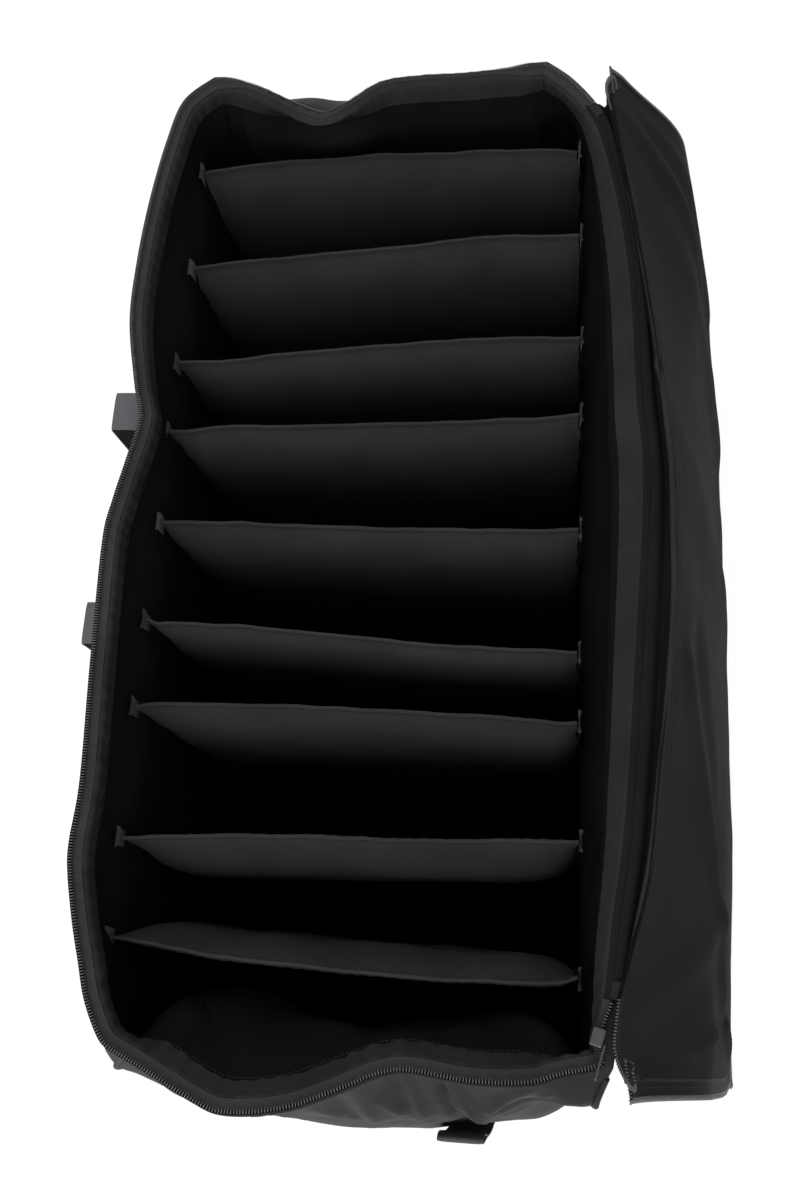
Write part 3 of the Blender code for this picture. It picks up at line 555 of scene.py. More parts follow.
base_loop = []
for step in range(320):
    spot, out = wall_at(step / 80, BASE_TOP)
    base_loop.append(spot + out * (PIPING + 0.0004))
base_cord = cord_along("base_cord", base_loop, PIPING, pack_cloth, "bag", closed=True)
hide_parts("base_piping")
CORD_FOOT, CORD_TOP, CORD_OUT = 0.0135, 0.4435, 0.0010
for corner, name in enumerate(("near_rear", "far_rear", "far_front", "near_front")):
    upright = []
    for step in range(61):
        z = CORD_FOOT + (CORD_TOP - CORD_FOOT) * step / 60
        spot, out = wall_at(corner + 1e-6, z)
        upright.append(spot + out * CORD_OUT)
    seam_cord = cord_along("corner_cord_" + name, upright, PIPING, pack_cloth, "bag")
    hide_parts("corner_piping_" + name)


# Hem: a strip of smooth nylon folded over the padded edge and sewn down inside, all round the mouth.
# The machine has gathered it, so its free edge is scalloped between the stitches.
hem_cloth = cloth_finish("hem_cloth", (0.0350, 0.0359, 0.0378), 0.60, 0.03, 0.0011, 0.45, 0.20)
# The hem's section, from outside over the rim to inside: how far in from the wall's outer face, and height
HEM_PATH = (
    (-0.0009, 0.4430), (-0.0011, 0.4500), (0.0005, 0.4516), (0.0050, 0.4521), (0.0098, 0.4518),
    (0.0114, 0.4500), (0.0118, 0.4440), (0.0123, 0.4330), (0.0127, 0.4200),
)
HEM_THICKNESS = 0.0010
# The share of that section which the hem covers on each side, and at the corners
HEM_REACH = (0.66, 0.68, 0.62, 0.62)
HEM_CORNER_REACH = 0.66
HEM_PUCKERS, HEM_SCALLOP, HEM_LUMP = 420, 0.0012, 0.0012
hem_line = even_points(HEM_PATH, 120)


def section_at(around, line, v, lift):
    """A place on a strip that runs round the mouth: its section is a line of (inset, height)."""
    here, way = heading(line, v, 0.02)
    inset, z = here.x + way.y * lift, here.y - way.x * lift
    inset += lining_slump(around, z) * ease((here.x - 0.006) / 0.004)
    spot = wall_at(around, min(z, MOUTH_Z), inset)[0]
    return Vector((spot.x, spot.y, z))


def place_hem(u, v, w):
    around = u * 4
    reach = metres_round(around)
    uneven = 0.7 + wobble(reach * 15, 4, 0)
    pucker = math.sin(reach * HEM_PUCKERS + 3 * wobble(reach * 20, 0, 0)) * uneven
    lump = wobble(reach * 45, 2, v * 1.5)
    side, away = int(around % 4), ease(8 * abs(around - round(around)))
    loose = 1 - 0.8 * away if side == 0 else 1.0
    lift = loose * (0.75 * HEM_SCALLOP * pucker * ease((v - 0.45) / 0.3) + HEM_LUMP * lump * ease((v - 0.3) / 0.3))
    share = v * (HEM_CORNER_REACH + (HEM_REACH[side] - HEM_CORNER_REACH) * away)
    spot = section_at(around, hem_line, share, -w * HEM_THICKNESS - 0.0010 * ease((v - 0.5) / 0.3) - lift)
    return spot + UP * (HEM_SCALLOP * loose * pucker * ease((v - 0.85) / 0.15))


hem = sewn_sheet("hem", 1280, 20, place_hem, hem_cloth, "bag", True)
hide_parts("rim_facing")


# Mouth zip: nylon coil sewn along the edge of a woven tape, which lies outwards over the hem and
# runs round three sides and both corners. The tape's ends are tucked under small folded tabs.
TAPE_LINE = even_points(((0.0102, 0.4539), (0.0066, 0.4546), (0.0034, 0.4562), (0.0006, 0.4588)), 60)
FOLDED_LINE = even_points(((0.0055, 0.4536), (0.0020, 0.4534), (-0.0012, 0.4516), (-0.0022, 0.4470)), 60)
TAPE_SKIN = 0.0008
TAPE_PUCKERS, TAPE_PUCKER = 430, 0.0005
SLIDER_DRAW = 0.0078
COIL_PITCH = 0.00225
COIL_SIZE = (0.00058, 0.0025, 0.0012)
COIL_LIFT = 0.0011
ZIP_ENDS = (-0.372, 0.396)


def rear_share(y):
    """Where along the hinge side the mouth passes this y."""
    low, high = 0.0, 1.0
    for _ in range(30):
        middle = (low + high) / 2
        if read_along(mouth_curves[0], middle).y < y:
            low = middle
        else:
            high = middle
    return low


def smooth_finish(name, colour, roughness):
    """Extruded nylon, as of coil and thread: smooth and slightly glossy, a little uneven in shade."""
    finish, tree, shader = start_finish(name)
    where = add_node(tree, "TexCoord", {}).outputs["Object"]
    uneven = add_node(tree, "TexNoise", {"Scale": 60.0, "Vector": where}).outputs["Fac"]
    shade = two_tones(tree, uneven, [c * 0.75 for c in colour], [c * 1.30 for c in colour], (0.0, 1.0))
    set_inputs(tree, shader, {"Base Color": shade, "Roughness": roughness})
    return finish


def row_of_beads(name, count, spot_at, size, finish, body):
    """A row of small rounded pieces, each laid on the axes (point, along, across) that spot_at gives."""
    bm = bmesh.new()
    for i in range(count):
        point, along, across = spot_at(i)
        along = along.normalized()
        up = along.cross(across).normalized()
        turn = Matrix((along, up.cross(along), up)).transposed().to_4x4()
        place = Matrix.Translation(point) @ turn @ Matrix.Diagonal((*size, 1))
        bmesh.ops.create_icosphere(bm, subdivisions=1, radius=1, matrix=place)
    return finished(name, bm, finish, body, 80)


tape_cloth = cloth_finish("tape_cloth", (0.0100, 0.0104, 0.0112), 0.62, 0.06, 0.0016, 0.9, 0.10)
# The mouth's tape is painted far lighter than the lid's half of the same zip (tape_cloth). This is painted light, where
# the tape lies face up at the rim. Above 0.4569 m, under the coil, the tape turns near black. That is painted shade
# between the coil's ribs.
lit_rim_tape = cloth_finish(
    "lit_rim_tape", (0.0500, 0.0512, 0.0536), 0.60, 0.04, 0.0012, 0.8, 0.20,
    colour_above=(0.4569, (0.0050, 0.0052, 0.0056), 0.0004),
)
# The coil is dark nylon painted light grey. The grey is painted highlight that stands in for the glints on its ribs.
coil_painted_glint = smooth_finish("coil_painted_glint", (0.120, 0.122, 0.127), 0.34)
zip_from, zip_to = rear_share(ZIP_ENDS[1]), 4 + rear_share(ZIP_ENDS[0])
slider_low, slider_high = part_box("zip_slider")
slider_place = 4 + rear_share((slider_low[1] + slider_high[1]) / 2)


def tape_at(u, v, lift):
    """A place on the mouth's tape, which is folded over outwards along the far end."""
    around = zip_from + (zip_to - zip_from) * u
    folded = ease((around - 1.04) / 0.12) * (1 - ease((around - 1.86) / 0.12))
    drawn = SLIDER_DRAW * bell(around - slider_place, 0.028) * (0.35 + 0.65 * v)
    reach = metres_round(around)
    pucker = math.sin(reach * TAPE_PUCKERS + 3 * wobble(reach * 25, 0, 0))
    lift += TAPE_PUCKER * pucker * ease(v / 0.3) * ease((1 - v) / 0.4)
    flat = section_at(around, TAPE_LINE, v, lift)
    return (flat - wall_at(around, MOUTH_Z)[1] * drawn).lerp(section_at(around, FOLDED_LINE, v, lift), folded)


def place_tape(u, v, w):
    return tape_at(u, v, -w * TAPE_SKIN)


mouth_tape = sewn_sheet("mouth_tape", 900, 6, place_tape, lit_rim_tape, "bag")
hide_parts("body_zip_tape")

def zip_coil(name, edge_at, edge_steps, side_at, side_steps, body):
    """A zip's coil: beads at an even pitch along one line, each laid towards another line beside it."""
    edge = [edge_at(i / edge_steps) for i in range(edge_steps + 1)]
    count = int(run_length(edge) / COIL_PITCH)
    edge = even_points(edge, count)
    side = even_points([side_at(i / side_steps) for i in range(side_steps + 1)], count)

    def spot_at(i):
        return edge[i], edge[min(i + 1, count)] - edge[max(i - 1, 0)], side[i] - edge[i]

    return row_of_beads(name, count, spot_at, COIL_SIZE, coil_painted_glint, body)


mouth_coil = zip_coil(
    "mouth_coil", lambda u: tape_at(u, 0.86, COIL_LIFT), 1400, lambda u: tape_at(u, 0.56, COIL_LIFT), 400, "bag"
)
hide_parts("body_zip_teeth")
for name, zip_end, inwards in (("near", ZIP_ENDS[0], 1), ("far", ZIP_ENDS[1], -1)):
    tab_low, tab_high = rear_share(zip_end + inwards * 0.0004), rear_share(zip_end + inwards * 0.0126)

    def place_tab(u, v, w):
        rounded = 0.0012 * (abs(2 * v - 1) ** 4) * (1 if w else -1)
        return section_at(tab_low + (tab_high - tab_low) * u, TAPE_LINE, v, 0.0002 + rounded - w * 0.0024)

    tab = sewn_sheet("zip_tab_" + name, 10, 12, place_tab, pack_cloth, "bag")
    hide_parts("zip_end_tab_" + name)


# Stitching: charcoal thread in a lockstitch line along the hem, close under the mouth's edge.
thread_finish = smooth_finish("thread", (0.022, 0.023, 0.025), 0.60)
STITCH = 0.0034
STITCH_SIZE = (0.00125, 0.00032, 0.00026)


def stitch_line(name, points, body, finish=thread_finish):
    """Separate stitches along a path, laid flat on the cloth under it."""
    count = max(2, int(run_length(points) / STITCH))
    line = even_points(points, count)

    def spot_at(i):
        way = line[min(i + 1, count)] - line[max(i - 1, 0)]
        return line[i].lerp(line[min(i + 1, count)], 0.5), way, way.cross(Vector((0.13, 0.07, 1)))

    return row_of_beads(name, count, spot_at, STITCH_SIZE, finish, body)


hem_seam = [section_at(i / 150, hem_line, 0.66, -HEM_THICKNESS - 0.0004) for i in range(601)]
stitch_line("hem_stitches", hem_seam, "bag")
tape_seam = [tape_at(i / 500, 0.10, -TAPE_SKIN - 0.0002) for i in range(501)]
stitch_line("tape_stitches", tape_seam, "bag")


# Cloth hinge: a folded strip of nylon sewn flat on the hinge side's hem with two rows of stitches. It
# drops into a valley and climbs to the bound edge of the hanging lid.
RIDGE = ((-0.430, 0.2085), (-0.379, 0.2150), (-0.345, 0.224), (-0.290, 0.237), (-0.218, 0.245), (-0.157, 0.252),
         (-0.078, 0.258), (0.005, 0.260), (0.066, 0.256), (0.159, 0.247), (0.247, 0.236), (0.340, 0.222),
         (0.396, 0.214), (0.434, 0.212))
HINGE_ENDS = (-0.3715, 0.3955)
HINGE_SKIN = 0.0011
ridge_line = even_points(RIDGE, 300)
hinge_nylon = cloth_finish("hinge_nylon", (0.0150, 0.0155, 0.0167), 0.60, 0.03, 0.0011, 0.45, 0.15)


def read_at(spots, value):
    """Reads a smooth line of (where, what) at one place."""
    if value <= spots[0].x:
        return spots[0].y
    for a, b in zip(spots, spots[1:]):
        if value <= b.x:
            return a.y + (b.y - a.y) * (value - a.x) / max(b.x - a.x, 1e-9)
    return spots[-1].y


@functools.lru_cache(maxsize=None)
def ridge_x(y):
    return read_at(ridge_line, y)


@functools.lru_cache(maxsize=None)
def hinge_section(y):
    mouth, top = read_along(mouth_curves[0], rear_share(y)).x, ridge_x(y)
    rise = top - mouth
    wander = 0.0008 * wobble(y * 14, 0, 0)
    return even_points(
        (
            (mouth - 0.0098, 0.4536), (mouth - 0.0050, 0.4541), (mouth - 0.0042 + wander, 0.4534),
            (mouth - 0.0034 + wander, 0.4542), (mouth + 0.0004, 0.4547), (mouth + 0.22 * rise, 0.4538),
            (mouth + 0.46 * rise, 0.4500), (mouth + 0.62 * rise, 0.4506), (top - 0.0030, 0.4590),
            (top - 0.0016, 0.4665), (top - 0.0008, 0.4690),
        ),
        60,
    )


def place_hinge(u, v, w):
    y = HINGE_ENDS[0] + (HINGE_ENDS[1] - HINGE_ENDS[0]) * u
    line = hinge_section(y)
    here, way = heading(line, v, 0.02)
    wave = 0.0007 * wobble(y * 22, v * 3, 5) * ease((v - 0.35) / 0.2)
    lift = w * HINGE_SKIN + wave
    return Vector((here.x - way.y * lift, y, here.y + way.x * lift))


hinge_cloth = sewn_sheet("hinge_cloth", 260, 34, place_hinge, hinge_nylon, None)
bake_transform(hinge_cloth)
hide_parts("hinge_strip", "lid_hinge_flap")
# The hinge's two rows of stitches are painted near black, darker than the charcoal thread elsewhere. This is painted
# shade of the seam grooves they sit in.
groove_shade_finish = smooth_finish("stitch_groove_shade", (0.006, 0.006, 0.007), 0.70)
for row, at in enumerate((0.05, 0.205), 1):
    seam = [place_hinge(i / 200, at, 1) + UP * 0.0002 for i in range(2, 199)]
    stitch_line(f"hinge_stitches_{row}", seam, "bag", groove_shade_finish)


# Lid: one padded panel of nylon, hanging open with its inner side out. Its edge is bound, its half of the
# zip is sewn round three sides, and its corners by the hinge are drawn in towards the mouth.
LID_MIDDLE = -0.004
HINGE_X, HINGE_Z = 0.258, 0.470
LEAN_OUT, LEAN_DOWN = 0.19937, 0.97992
# The panel's two edges, down from the hinge, its half length, and its corners' radius by the hinge and below
PANEL_A = (0.0030, 0.4441)
PANEL_MIDDLE, PANEL_HALF_A = (PANEL_A[0] + PANEL_A[1]) / 2, (PANEL_A[1] - PANEL_A[0]) / 2
PANEL_HALF = 0.4341
PANEL_CORNERS = (0.036, 0.042)
LID_FACE, LID_EDGE, LID_THICK = -0.0020, 0.0035, 0.0105
# The hinge edge is drawn in to the ridge as far down as this; below it the lid sags, its ends curl and tuck in
LID_PULL_END, LID_LINE_X = 0.155, 0.2590
LID_SAG, NEAR_CURL, FAR_CURL, LID_TUCK = 0.007, 0.0085, 0.0050, 0.014
FOLD_DEEP, LID_SLACK = 2.2, 0.0022
LID_HEM, HEM_DIP = 0.007, 0.0009
END_DROP = 0.0090
LID_FOLDS = (
    ((0.02, 0.395), (0.20, 0.300), 0.016, 0.0030),
    ((0.06, 0.415), (0.30, 0.340), 0.020, 0.0022),
    ((0.03, 0.320), (0.36, 0.210), 0.030, 0.0022),
    ((0.05, -0.120), (0.22, -0.371), 0.018, 0.0028),
    ((0.10, -0.090), (0.30, -0.340), 0.024, -0.0020),
    ((0.03, -0.395), (0.20, -0.300), 0.018, 0.0020),
    ((0.05, 0.060), (0.40, 0.020), 0.035, 0.0018),
    ((0.30, -0.420), (0.24, -0.395), 0.008, 0.0028),
    ((0.36, -0.425), (0.30, -0.390), 0.008, -0.0022),
    ((0.10, -0.422), (0.16, -0.405), 0.007, 0.0016),
)


def lid_at(a, y, n):
    """A point of the hanging lid: a down from the hinge, y along it, n towards the bag."""
    pulled = (LID_LINE_X - ridge_x(y) + 0.005 * ease((y - 0.36) / 0.06)) / 0.98 - 0.009 * ease((-0.412 - y) / 0.040)
    ends = abs(y - LID_MIDDLE) / 0.454
    sag = LID_SAG * math.sin(math.pi * min(max(a / 0.46, 0.0), 1.0)) * max(0.0, 1 - ends * ends)
    near_curl = NEAR_CURL * ease((a - 0.22) / 0.24) * ease((-0.20 - y) / 0.22)
    far_curl = FAR_CURL * ease((a - 0.24) / 0.20) * ease((y - 0.24) / 0.18)
    n += max(pulled * (1 - ease(a / LID_PULL_END)), 0.0) - sag + near_curl + far_curl
    y += (LID_TUCK * ease(a / 0.045) - 0.004) * ease((y - 0.15) / 0.27)
    y += LID_TUCK * ease((-0.15 - y) / 0.27) * (1 - ease((a - 0.02) / 0.36))
    return Vector((HINGE_X + LEAN_OUT * a - LEAN_DOWN * n, y, HINGE_Z - LEAN_DOWN * a - LEAN_OUT * n))


def edge_shift(a, y):
    """How much further down the panel lies at its ends by the hinge, where the zip turns the corner."""
    share = min(max((PANEL_A[1] - a) / (PANEL_A[1] - PANEL_A[0]), 0.0), 1.0)
    return END_DROP * ease((abs(y + LID_MIDDLE) - 0.300) / 0.070) * share**3


def corner_pull(a, y):
    """Moves a spot of a square-cornered panel inside its rounded corners."""
    radius = PANEL_CORNERS[a > PANEL_MIDDLE]
    past_a = (abs(a - PANEL_MIDDLE) - PANEL_HALF_A + radius) / radius
    past_y = (abs(y) - PANEL_HALF + radius) / radius
    if past_a > 0 and past_y > 0:
        round_a, round_y = past_a * math.sqrt(1 - past_y * past_y / 2), past_y * math.sqrt(1 - past_a * past_a / 2)
        a = PANEL_MIDDLE + math.copysign(PANEL_HALF_A - radius + radius * round_a, a - PANEL_MIDDLE)
        y = math.copysign(PANEL_HALF - radius + radius * round_y, y)
    return a + edge_shift(a, y), y


def place_lid(u, v, w):
    flat_a = PANEL_A[0] + (PANEL_A[1] - PANEL_A[0]) * u
    flat_y = PANEL_HALF * (2 * v - 1)
    edge = min(flat_a - PANEL_A[0], PANEL_A[1] - flat_a, PANEL_HALF - abs(flat_y))
    full = 1 - math.exp(-max(edge, 0.0) / 0.012)
    a, y = corner_pull(flat_a, flat_y)
    y += LID_MIDDLE
    if w:
        plump = (LID_THICK - LID_EDGE + 0.001 * slack(Vector((a, y, 0)), 0.08, 5.0)) * full
        return lid_at(a, y, LID_FACE + LID_EDGE + plump)
    fold = FOLD_DEEP * crease_depth(a, y, LID_FOLDS) + LID_SLACK * slack(Vector((a * 0.7, y, 0)), 0.09, 2.0)
    seam_dip = HEM_DIP * bell(edge - LID_HEM, 0.0012)
    return lid_at(a, y, LID_FACE - (0.0012 + fold) * full + seam_dip)


lid_cloth = cloth_finish("lid_cloth", (0.0250, 0.0259, 0.0276), 0.60, 0.008, 0.0011, 0.45, 0.10, worn=0.001)
lid_pad = sewn_sheet("lid_pad", 110, 220, place_lid, lid_cloth, "lid")
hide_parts("lid_panel")


LOOP_STEPS = 900
KINK_Y, KINK_HIGH = 0.120, 0.0022


def lid_loop(grow):
    """The panel's outline grown outwards: even points from the middle of its hinge side round to it again."""
    flat = [(PANEL_A[0] - grow, 0.05 * k) for k in range(8)]
    for corner_a, corner_y, start in ((-1, 1, 180), (1, 1, 90), (1, -1, 0), (-1, -1, -90)):
        radius = PANEL_CORNERS[corner_a > 0]
        for k in range(13):
            turn = math.radians(start - 90 * k / 12)
            a = PANEL_MIDDLE + corner_a * (PANEL_HALF_A - radius) + math.cos(turn) * (radius + grow)
            flat.append((a, corner_y * (PANEL_HALF - radius) + math.sin(turn) * (radius + grow)))
    flat += [(PANEL_A[0] - grow, -0.05 * k) for k in range(7, -1, -1)]
    return even_points([(a + edge_shift(a, y), y + LID_MIDDLE) for a, y in flat], LOOP_STEPS)


BINDING = 0.0024
BINDING_SEAM = BINDING - 0.0010
binding_loop = lid_loop(BINDING_SEAM)


def binding_lump(i):
    """The bound edge wanders a little, and its ends overlap in a small kink."""
    y = binding_loop[i].y
    kink = bell(y - KINK_Y, 0.006) if binding_loop[i].x < 0.03 else 0.0
    return 0.0006 * wobble(i * 0.05, 0, 3) + KINK_HIGH * kink


binding_run = [lid_at(p.x, p.y, 0.0006 + binding_lump(i)) for i, p in enumerate(binding_loop[:-1])][::2]
lid_binding_cord = cord_along("lid_binding_tape", binding_run, BINDING, hem_cloth, "lid", closed=True)
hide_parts("lid_binding")

TAPE_REACH = BINDING + 0.0100
zip_part = [
    i for i, p in enumerate(binding_loop) if p.x > 0.03 or not ZIP_ENDS[0] - 0.008 < p.y < ZIP_ENDS[1] - 0.012
]


def place_lid_tape(u, v, w):
    place = zip_part[0] + (zip_part[-1] - zip_part[0]) * u
    i = min(int(place), LOOP_STEPS - 1)
    way = binding_loop[min(i + 6, LOOP_STEPS)] - binding_loop[max(i - 5, 0)]
    spot = binding_loop[i].lerp(binding_loop[i + 1], place - i)
    spot += Vector((-way.y, way.x)).normalized() * (TAPE_REACH * v)
    return lid_at(spot.x, spot.y, -0.0012 + w * 0.0009 + 0.0006 * wobble(u * 40, v, 0))


lid_tape = sewn_sheet("lid_tape", 520, 5, place_lid_tape, tape_cloth, "lid")
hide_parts("lid_zip_tape")
lid_coil = zip_coil(
    "lid_coil", lambda u: place_lid_tape(u, 1.0, 0), 1200, lambda u: place_lid_tape(u, 0.5, 0), 600, "lid"
)
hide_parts("lid_zip_teeth")
lid_seam = [place_lid_tape(i / 600, 0.40, 0) + Vector((0.0003, 0, 0)) for i in range(601)]
lid_stitches = stitch_line("lid_stitches", lid_seam, "lid")
for piece in (lid_pad, lid_binding_cord, lid_tape, lid_coil, lid_stitches):
    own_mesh(piece)


# Dividers: nine pads of brushed cloth over thin foam. The top edge is folded over and sewn flat, so each
# pad swells below it, and it stands on hook tape that also runs up both ends and grips the lining.
DIVIDER_TOP = 0.408
DIVIDER_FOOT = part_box("divider_1")[0][2]
DIVIDER_THICK = 0.0165
DIVIDER_TOPS = (
    ((-0.184, 0.3805), (-0.178, 0.3841), (-0.127, 0.3879), (-0.077, 0.3906), (-0.007, 0.3925), (0.032, 0.3904),
     (0.061, 0.3888), (0.109, 0.3899), (0.160, 0.3871), (0.181, 0.3826)),
    ((-0.184, 0.2719), (-0.142, 0.2763), (-0.093, 0.2796), (-0.044, 0.2828), (0.037, 0.2879), (0.065, 0.2916),
     (0.112, 0.2936), (0.158, 0.2915), (0.181, 0.2912)),
    ((-0.182, 0.1700), (-0.131, 0.1712), (-0.084, 0.1762), (-0.037, 0.1786), (0.042, 0.1834), (0.069, 0.1843),
     (0.114, 0.1851), (0.181, 0.1842)),
    ((-0.182, 0.0993), (-0.164, 0.0990), (-0.139, 0.1025), (-0.101, 0.1022), (-0.055, 0.1017), (-0.009, 0.1022),
     (0.045, 0.1026), (0.134, 0.1040), (0.160, 0.1053), (0.182, 0.1085)),
    ((-0.182, 0.0092), (-0.115, 0.0082), (-0.070, 0.0060), (-0.025, 0.0034), (0.050, 0.0016), (0.136, -0.0008),
     (0.161, -0.0003), (0.183, 0.0006)),
    ((-0.184, -0.0810), (-0.176, -0.0852), (-0.162, -0.0846), (-0.106, -0.0868), (-0.062, -0.0907), (-0.018, -0.0941),
     (0.055, -0.1010), (0.138, -0.1055), (0.162, -0.1065), (0.182, -0.1070)),
    ((-0.184, -0.1590), (-0.171, -0.1564), (-0.124, -0.1556), (-0.031, -0.1562), (0.058, -0.1596), (0.146, -0.1632),
     (0.170, -0.1660), (0.183, -0.1650)),
    ((-0.184, -0.2682), (-0.142, -0.2662), (-0.076, -0.2630), (0.006, -0.2622), (0.063, -0.2623), (0.120, -0.2608),
     (0.184, -0.2586)),
    ((-0.184, -0.3466), (-0.150, -0.3499), (-0.100, -0.3566), (-0.027, -0.3611), (0.067, -0.3647), (0.128, -0.3641),
     (0.170, -0.3637), (0.184, -0.3590)),
)
DIVIDER_PLACES = (0.3826, 0.2815, 0.1753, 0.1034, 0.0052, -0.0954, -0.1636, -0.2627, -0.3525)
DIVIDER_BOWS = (0.002, 0.001, 0.003, 0.003, 0.004, 0.005, 0.006, 0.015, -0.012)
DIVIDER_SKEWS = (0.0, 2.6, 1.7, 1.1, -1.2, -4.2, 0.2, 2.0, -1.4)
DIVIDER_HALF, DIVIDER_EDGE = 0.1835, 0.0026
SEAM_DROP = 0.0070
ROW_CROWD = 1.5
DIVIDER_SLACK, DIVIDER_PUCKER, END_SWAY = 0.0022, 0.0006, 0.0055
HOOK_RUN, HOOK_SKIN, HOOK_HALF, HOOK_NARROWED = 1.15, 0.0011, 0.0125, 0.0065
divider_cloth = cloth_finish("divider_cloth", (0.0430, 0.0443, 0.0468), 0.72, 0.03, 0.0012, 0.45, 0.15)
# The hook tape turns light grey above 0.397 m, at its top end.
hook_tape = cloth_finish(
    "hook_tape", (0.0110, 0.0114, 0.0122), 0.85, 0.02, 0.0009, 1.2, 0.35, colour_above=(0.397, (0.110, 0.111, 0.115), 0.004)
)
top_lines = [even_points(tops, 120) for tops in DIVIDER_TOPS]


def divider_spot(number, x, z, out):
    """A place on one divider: out is how far its face stands to the far side of its middle."""
    slant = math.tan(math.radians(DIVIDER_SKEWS[number]))
    height = min(max((z - DIVIDER_FOOT) / (DIVIDER_TOP - DIVIDER_FOOT), 0.0), 1.02)
    foot = DIVIDER_PLACES[number] + x * slant
    y = foot + (read_at(top_lines[number], x) - foot) * height**2.2
    below = DIVIDER_TOP - z
    y -= DIVIDER_BOWS[number] * ease(below / 0.08) * (1 - ease((below - 0.11) / 0.19)) * max(0.0, 1 - (x / 0.186) ** 12)
    return Vector((x, y + out, z))


def end_sway(number, z, end):
    """The ends of a pad wander in and out near its top, where only the cloth holds them."""
    wander = wobble(z / 0.035, number * 2.0, 3 if end > 0 else 8) + 0.25
    return END_SWAY * wander * ease((z - 0.27) / 0.05) * abs(end) ** 4


for number in range(9):
    half = DIVIDER_HALF - 0.006 * abs(math.sin(math.radians(DIVIDER_SKEWS[number])))

    def place_divider(u, v, w):
        x = 2 * u - 1
        sway = 0.0016 * slack(Vector((x * half * 0.8, number * 3.1, 0)), 0.07, number)
        z = DIVIDER_FOOT + (DIVIDER_TOP + sway - DIVIDER_FOOT) * (1 - (1 - v) ** ROW_CROWD)
        x *= half + end_sway(number, z, x)
        below, beside = DIVIDER_TOP - z, half * (1 - abs(2 * u - 1))
        swell = (1 - math.exp(-max(below - 0.006, 0.0) / 0.014)) * (1 - math.exp(-max(beside - 0.001, 0.0) / 0.010))
        thick = DIVIDER_EDGE + (DIVIDER_THICK - DIVIDER_EDGE) * swell
        gather = bell(below - 0.011, 0.007)
        pucker = DIVIDER_PUCKER * math.sin(x * 520 + 2 * wobble(x * 30, number, 0)) * gather
        wrinkle = DIVIDER_SLACK * slack(Vector((x, z * 0.7, number * 5.0)), 0.055, number) * swell
        seam = -0.0007 * bell(below - SEAM_DROP, 0.0012)
        lean = 0.0010 * slack(Vector((x * 1.2, number * 2.0, 1)), 0.035, 4.0) * math.exp(-below / 0.03)
        face = thick / 2 + (pucker + wrinkle * 0.5 + seam)
        return divider_spot(number, x, z, lean + wrinkle + (face if w else -face))

    body = f"divider_{number + 1}"
    pad = sewn_sheet(f"divider_pad_{number + 1}", 96, 56, place_divider, divider_cloth, body)
    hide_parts(body)
    seam_v = 1 - ((SEAM_DROP + 0.0002) / (DIVIDER_TOP - DIVIDER_FOOT)) ** (1 / ROW_CROWD)
    for side, w in (("near", 0), ("far", 1)):
        proud = Vector((0, 0.0002 if w else -0.0002, 0))
        line = [place_divider(i / 120, seam_v, w) + proud for i in range(2, 119)]
        stitch_line(f"divider_stitches_{number + 1}_{side}", line, body)

    # The hook tape's path: down one end of the pad, under its foot and up the other end
    reach, under = half + 0.0013, DIVIDER_FOOT - HOOK_SKIN
    down = [(-reach - 0.0012, DIVIDER_TOP + 0.003), (-reach, DIVIDER_TOP - 0.010), (-reach, 0.200),
            (-reach, DIVIDER_FOOT + 0.004), (-reach + 0.003, under)]
    hook_line = even_points(down + [(0, under)] + [(-x, z) for x, z in reversed(down)], 160)

    def place_hook(u, v, w):
        here, way = heading(hook_line, u, 0.006)
        out = Vector((way.y, -way.x))
        top = max(0.0, 1 - min(u, 1 - u) * HOOK_RUN / 0.030)
        side_part = ease((abs(here.x) - half + 0.004) / 0.004)
        wide = HOOK_HALF - HOOK_NARROWED * side_part + (0.0025 + 0.003 * wobble(u * 90, v * 9, number)) * top
        fray = 0.0016 * wobble(u * 400, v * 5, number * 3) * (top + 0.15)
        curl = -0.0030 * top * (2 * v - 1) ** 2
        spot = here + out * (w * HOOK_SKIN + curl * 0.4 + fray * 0.3)
        middle = divider_spot(number, max(-half, min(half, spot.x)), spot.y, 0)
        end = math.copysign(1, spot.x)
        aside = end * end_sway(number, spot.y, end) * ease((abs(spot.x) - 0.150) / 0.02)
        return Vector((spot.x + aside, middle.y + (2 * v - 1) * wide, spot.y))

    hook = sewn_sheet(f"divider_hook_tape_{number + 1}", 220, 8, place_hook, hook_tape, body)
    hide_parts(f"divider_{number + 1}_hook_band")


# Handles: 38 mm webbing. A strap is sewn up each wall and folds out at its top; the loop hangs from the folds.
WEB_WIDE, WEB_THICK = 0.038, 0.0023
webbing = cloth_finish("webbing_weave", (0.175, 0.180, 0.190), 0.60, 0.10, 0.0024, 1.3, 0.12, worn=0.003)
# Side, drop of the fold below the mouth, and each leg's place along the wall and how far off the base it hangs
HANDLES = {
    "front": (2, 0.048, (-0.124, 0.050), (0.083, 0.050)),
    "rear": (0, 0.098, (-0.0975, 0.036), (0.0975, 0.036)),
    "near": (3, 0.138, (-0.0975, 0.003), (0.0930, 0.013)),
    "far": (1, 0.138, (-0.0975, 0.028), (0.0975, 0.028)),
}
STRAP_FOOT = 0.100
STRAP_OFF, LOOP_OFF = 0.0036, 0.0042
LOOP_DROP, LOOP_ROUND = 0.115, 0.045


def web_band(name, frames, body):
    """Flat webbing along frames of (point, across, out), with rounded selvedges."""

    def place(u, v, w):
        i = min(int(u * (len(frames) - 1)), len(frames) - 2)
        part = u * (len(frames) - 1) - i
        point, across, out = (frames[i][k].lerp(frames[i + 1][k], part) for k in range(3))
        thick = WEB_THICK * (1 - 0.55 * abs(2 * v - 1) ** 6)
        return point + across.normalized() * ((v - 0.5) * WEB_WIDE) + out.normalized() * ((w - 0.5) * thick)

    return sewn_sheet(name, (len(frames) - 1) * 2, 12, place, webbing, body)


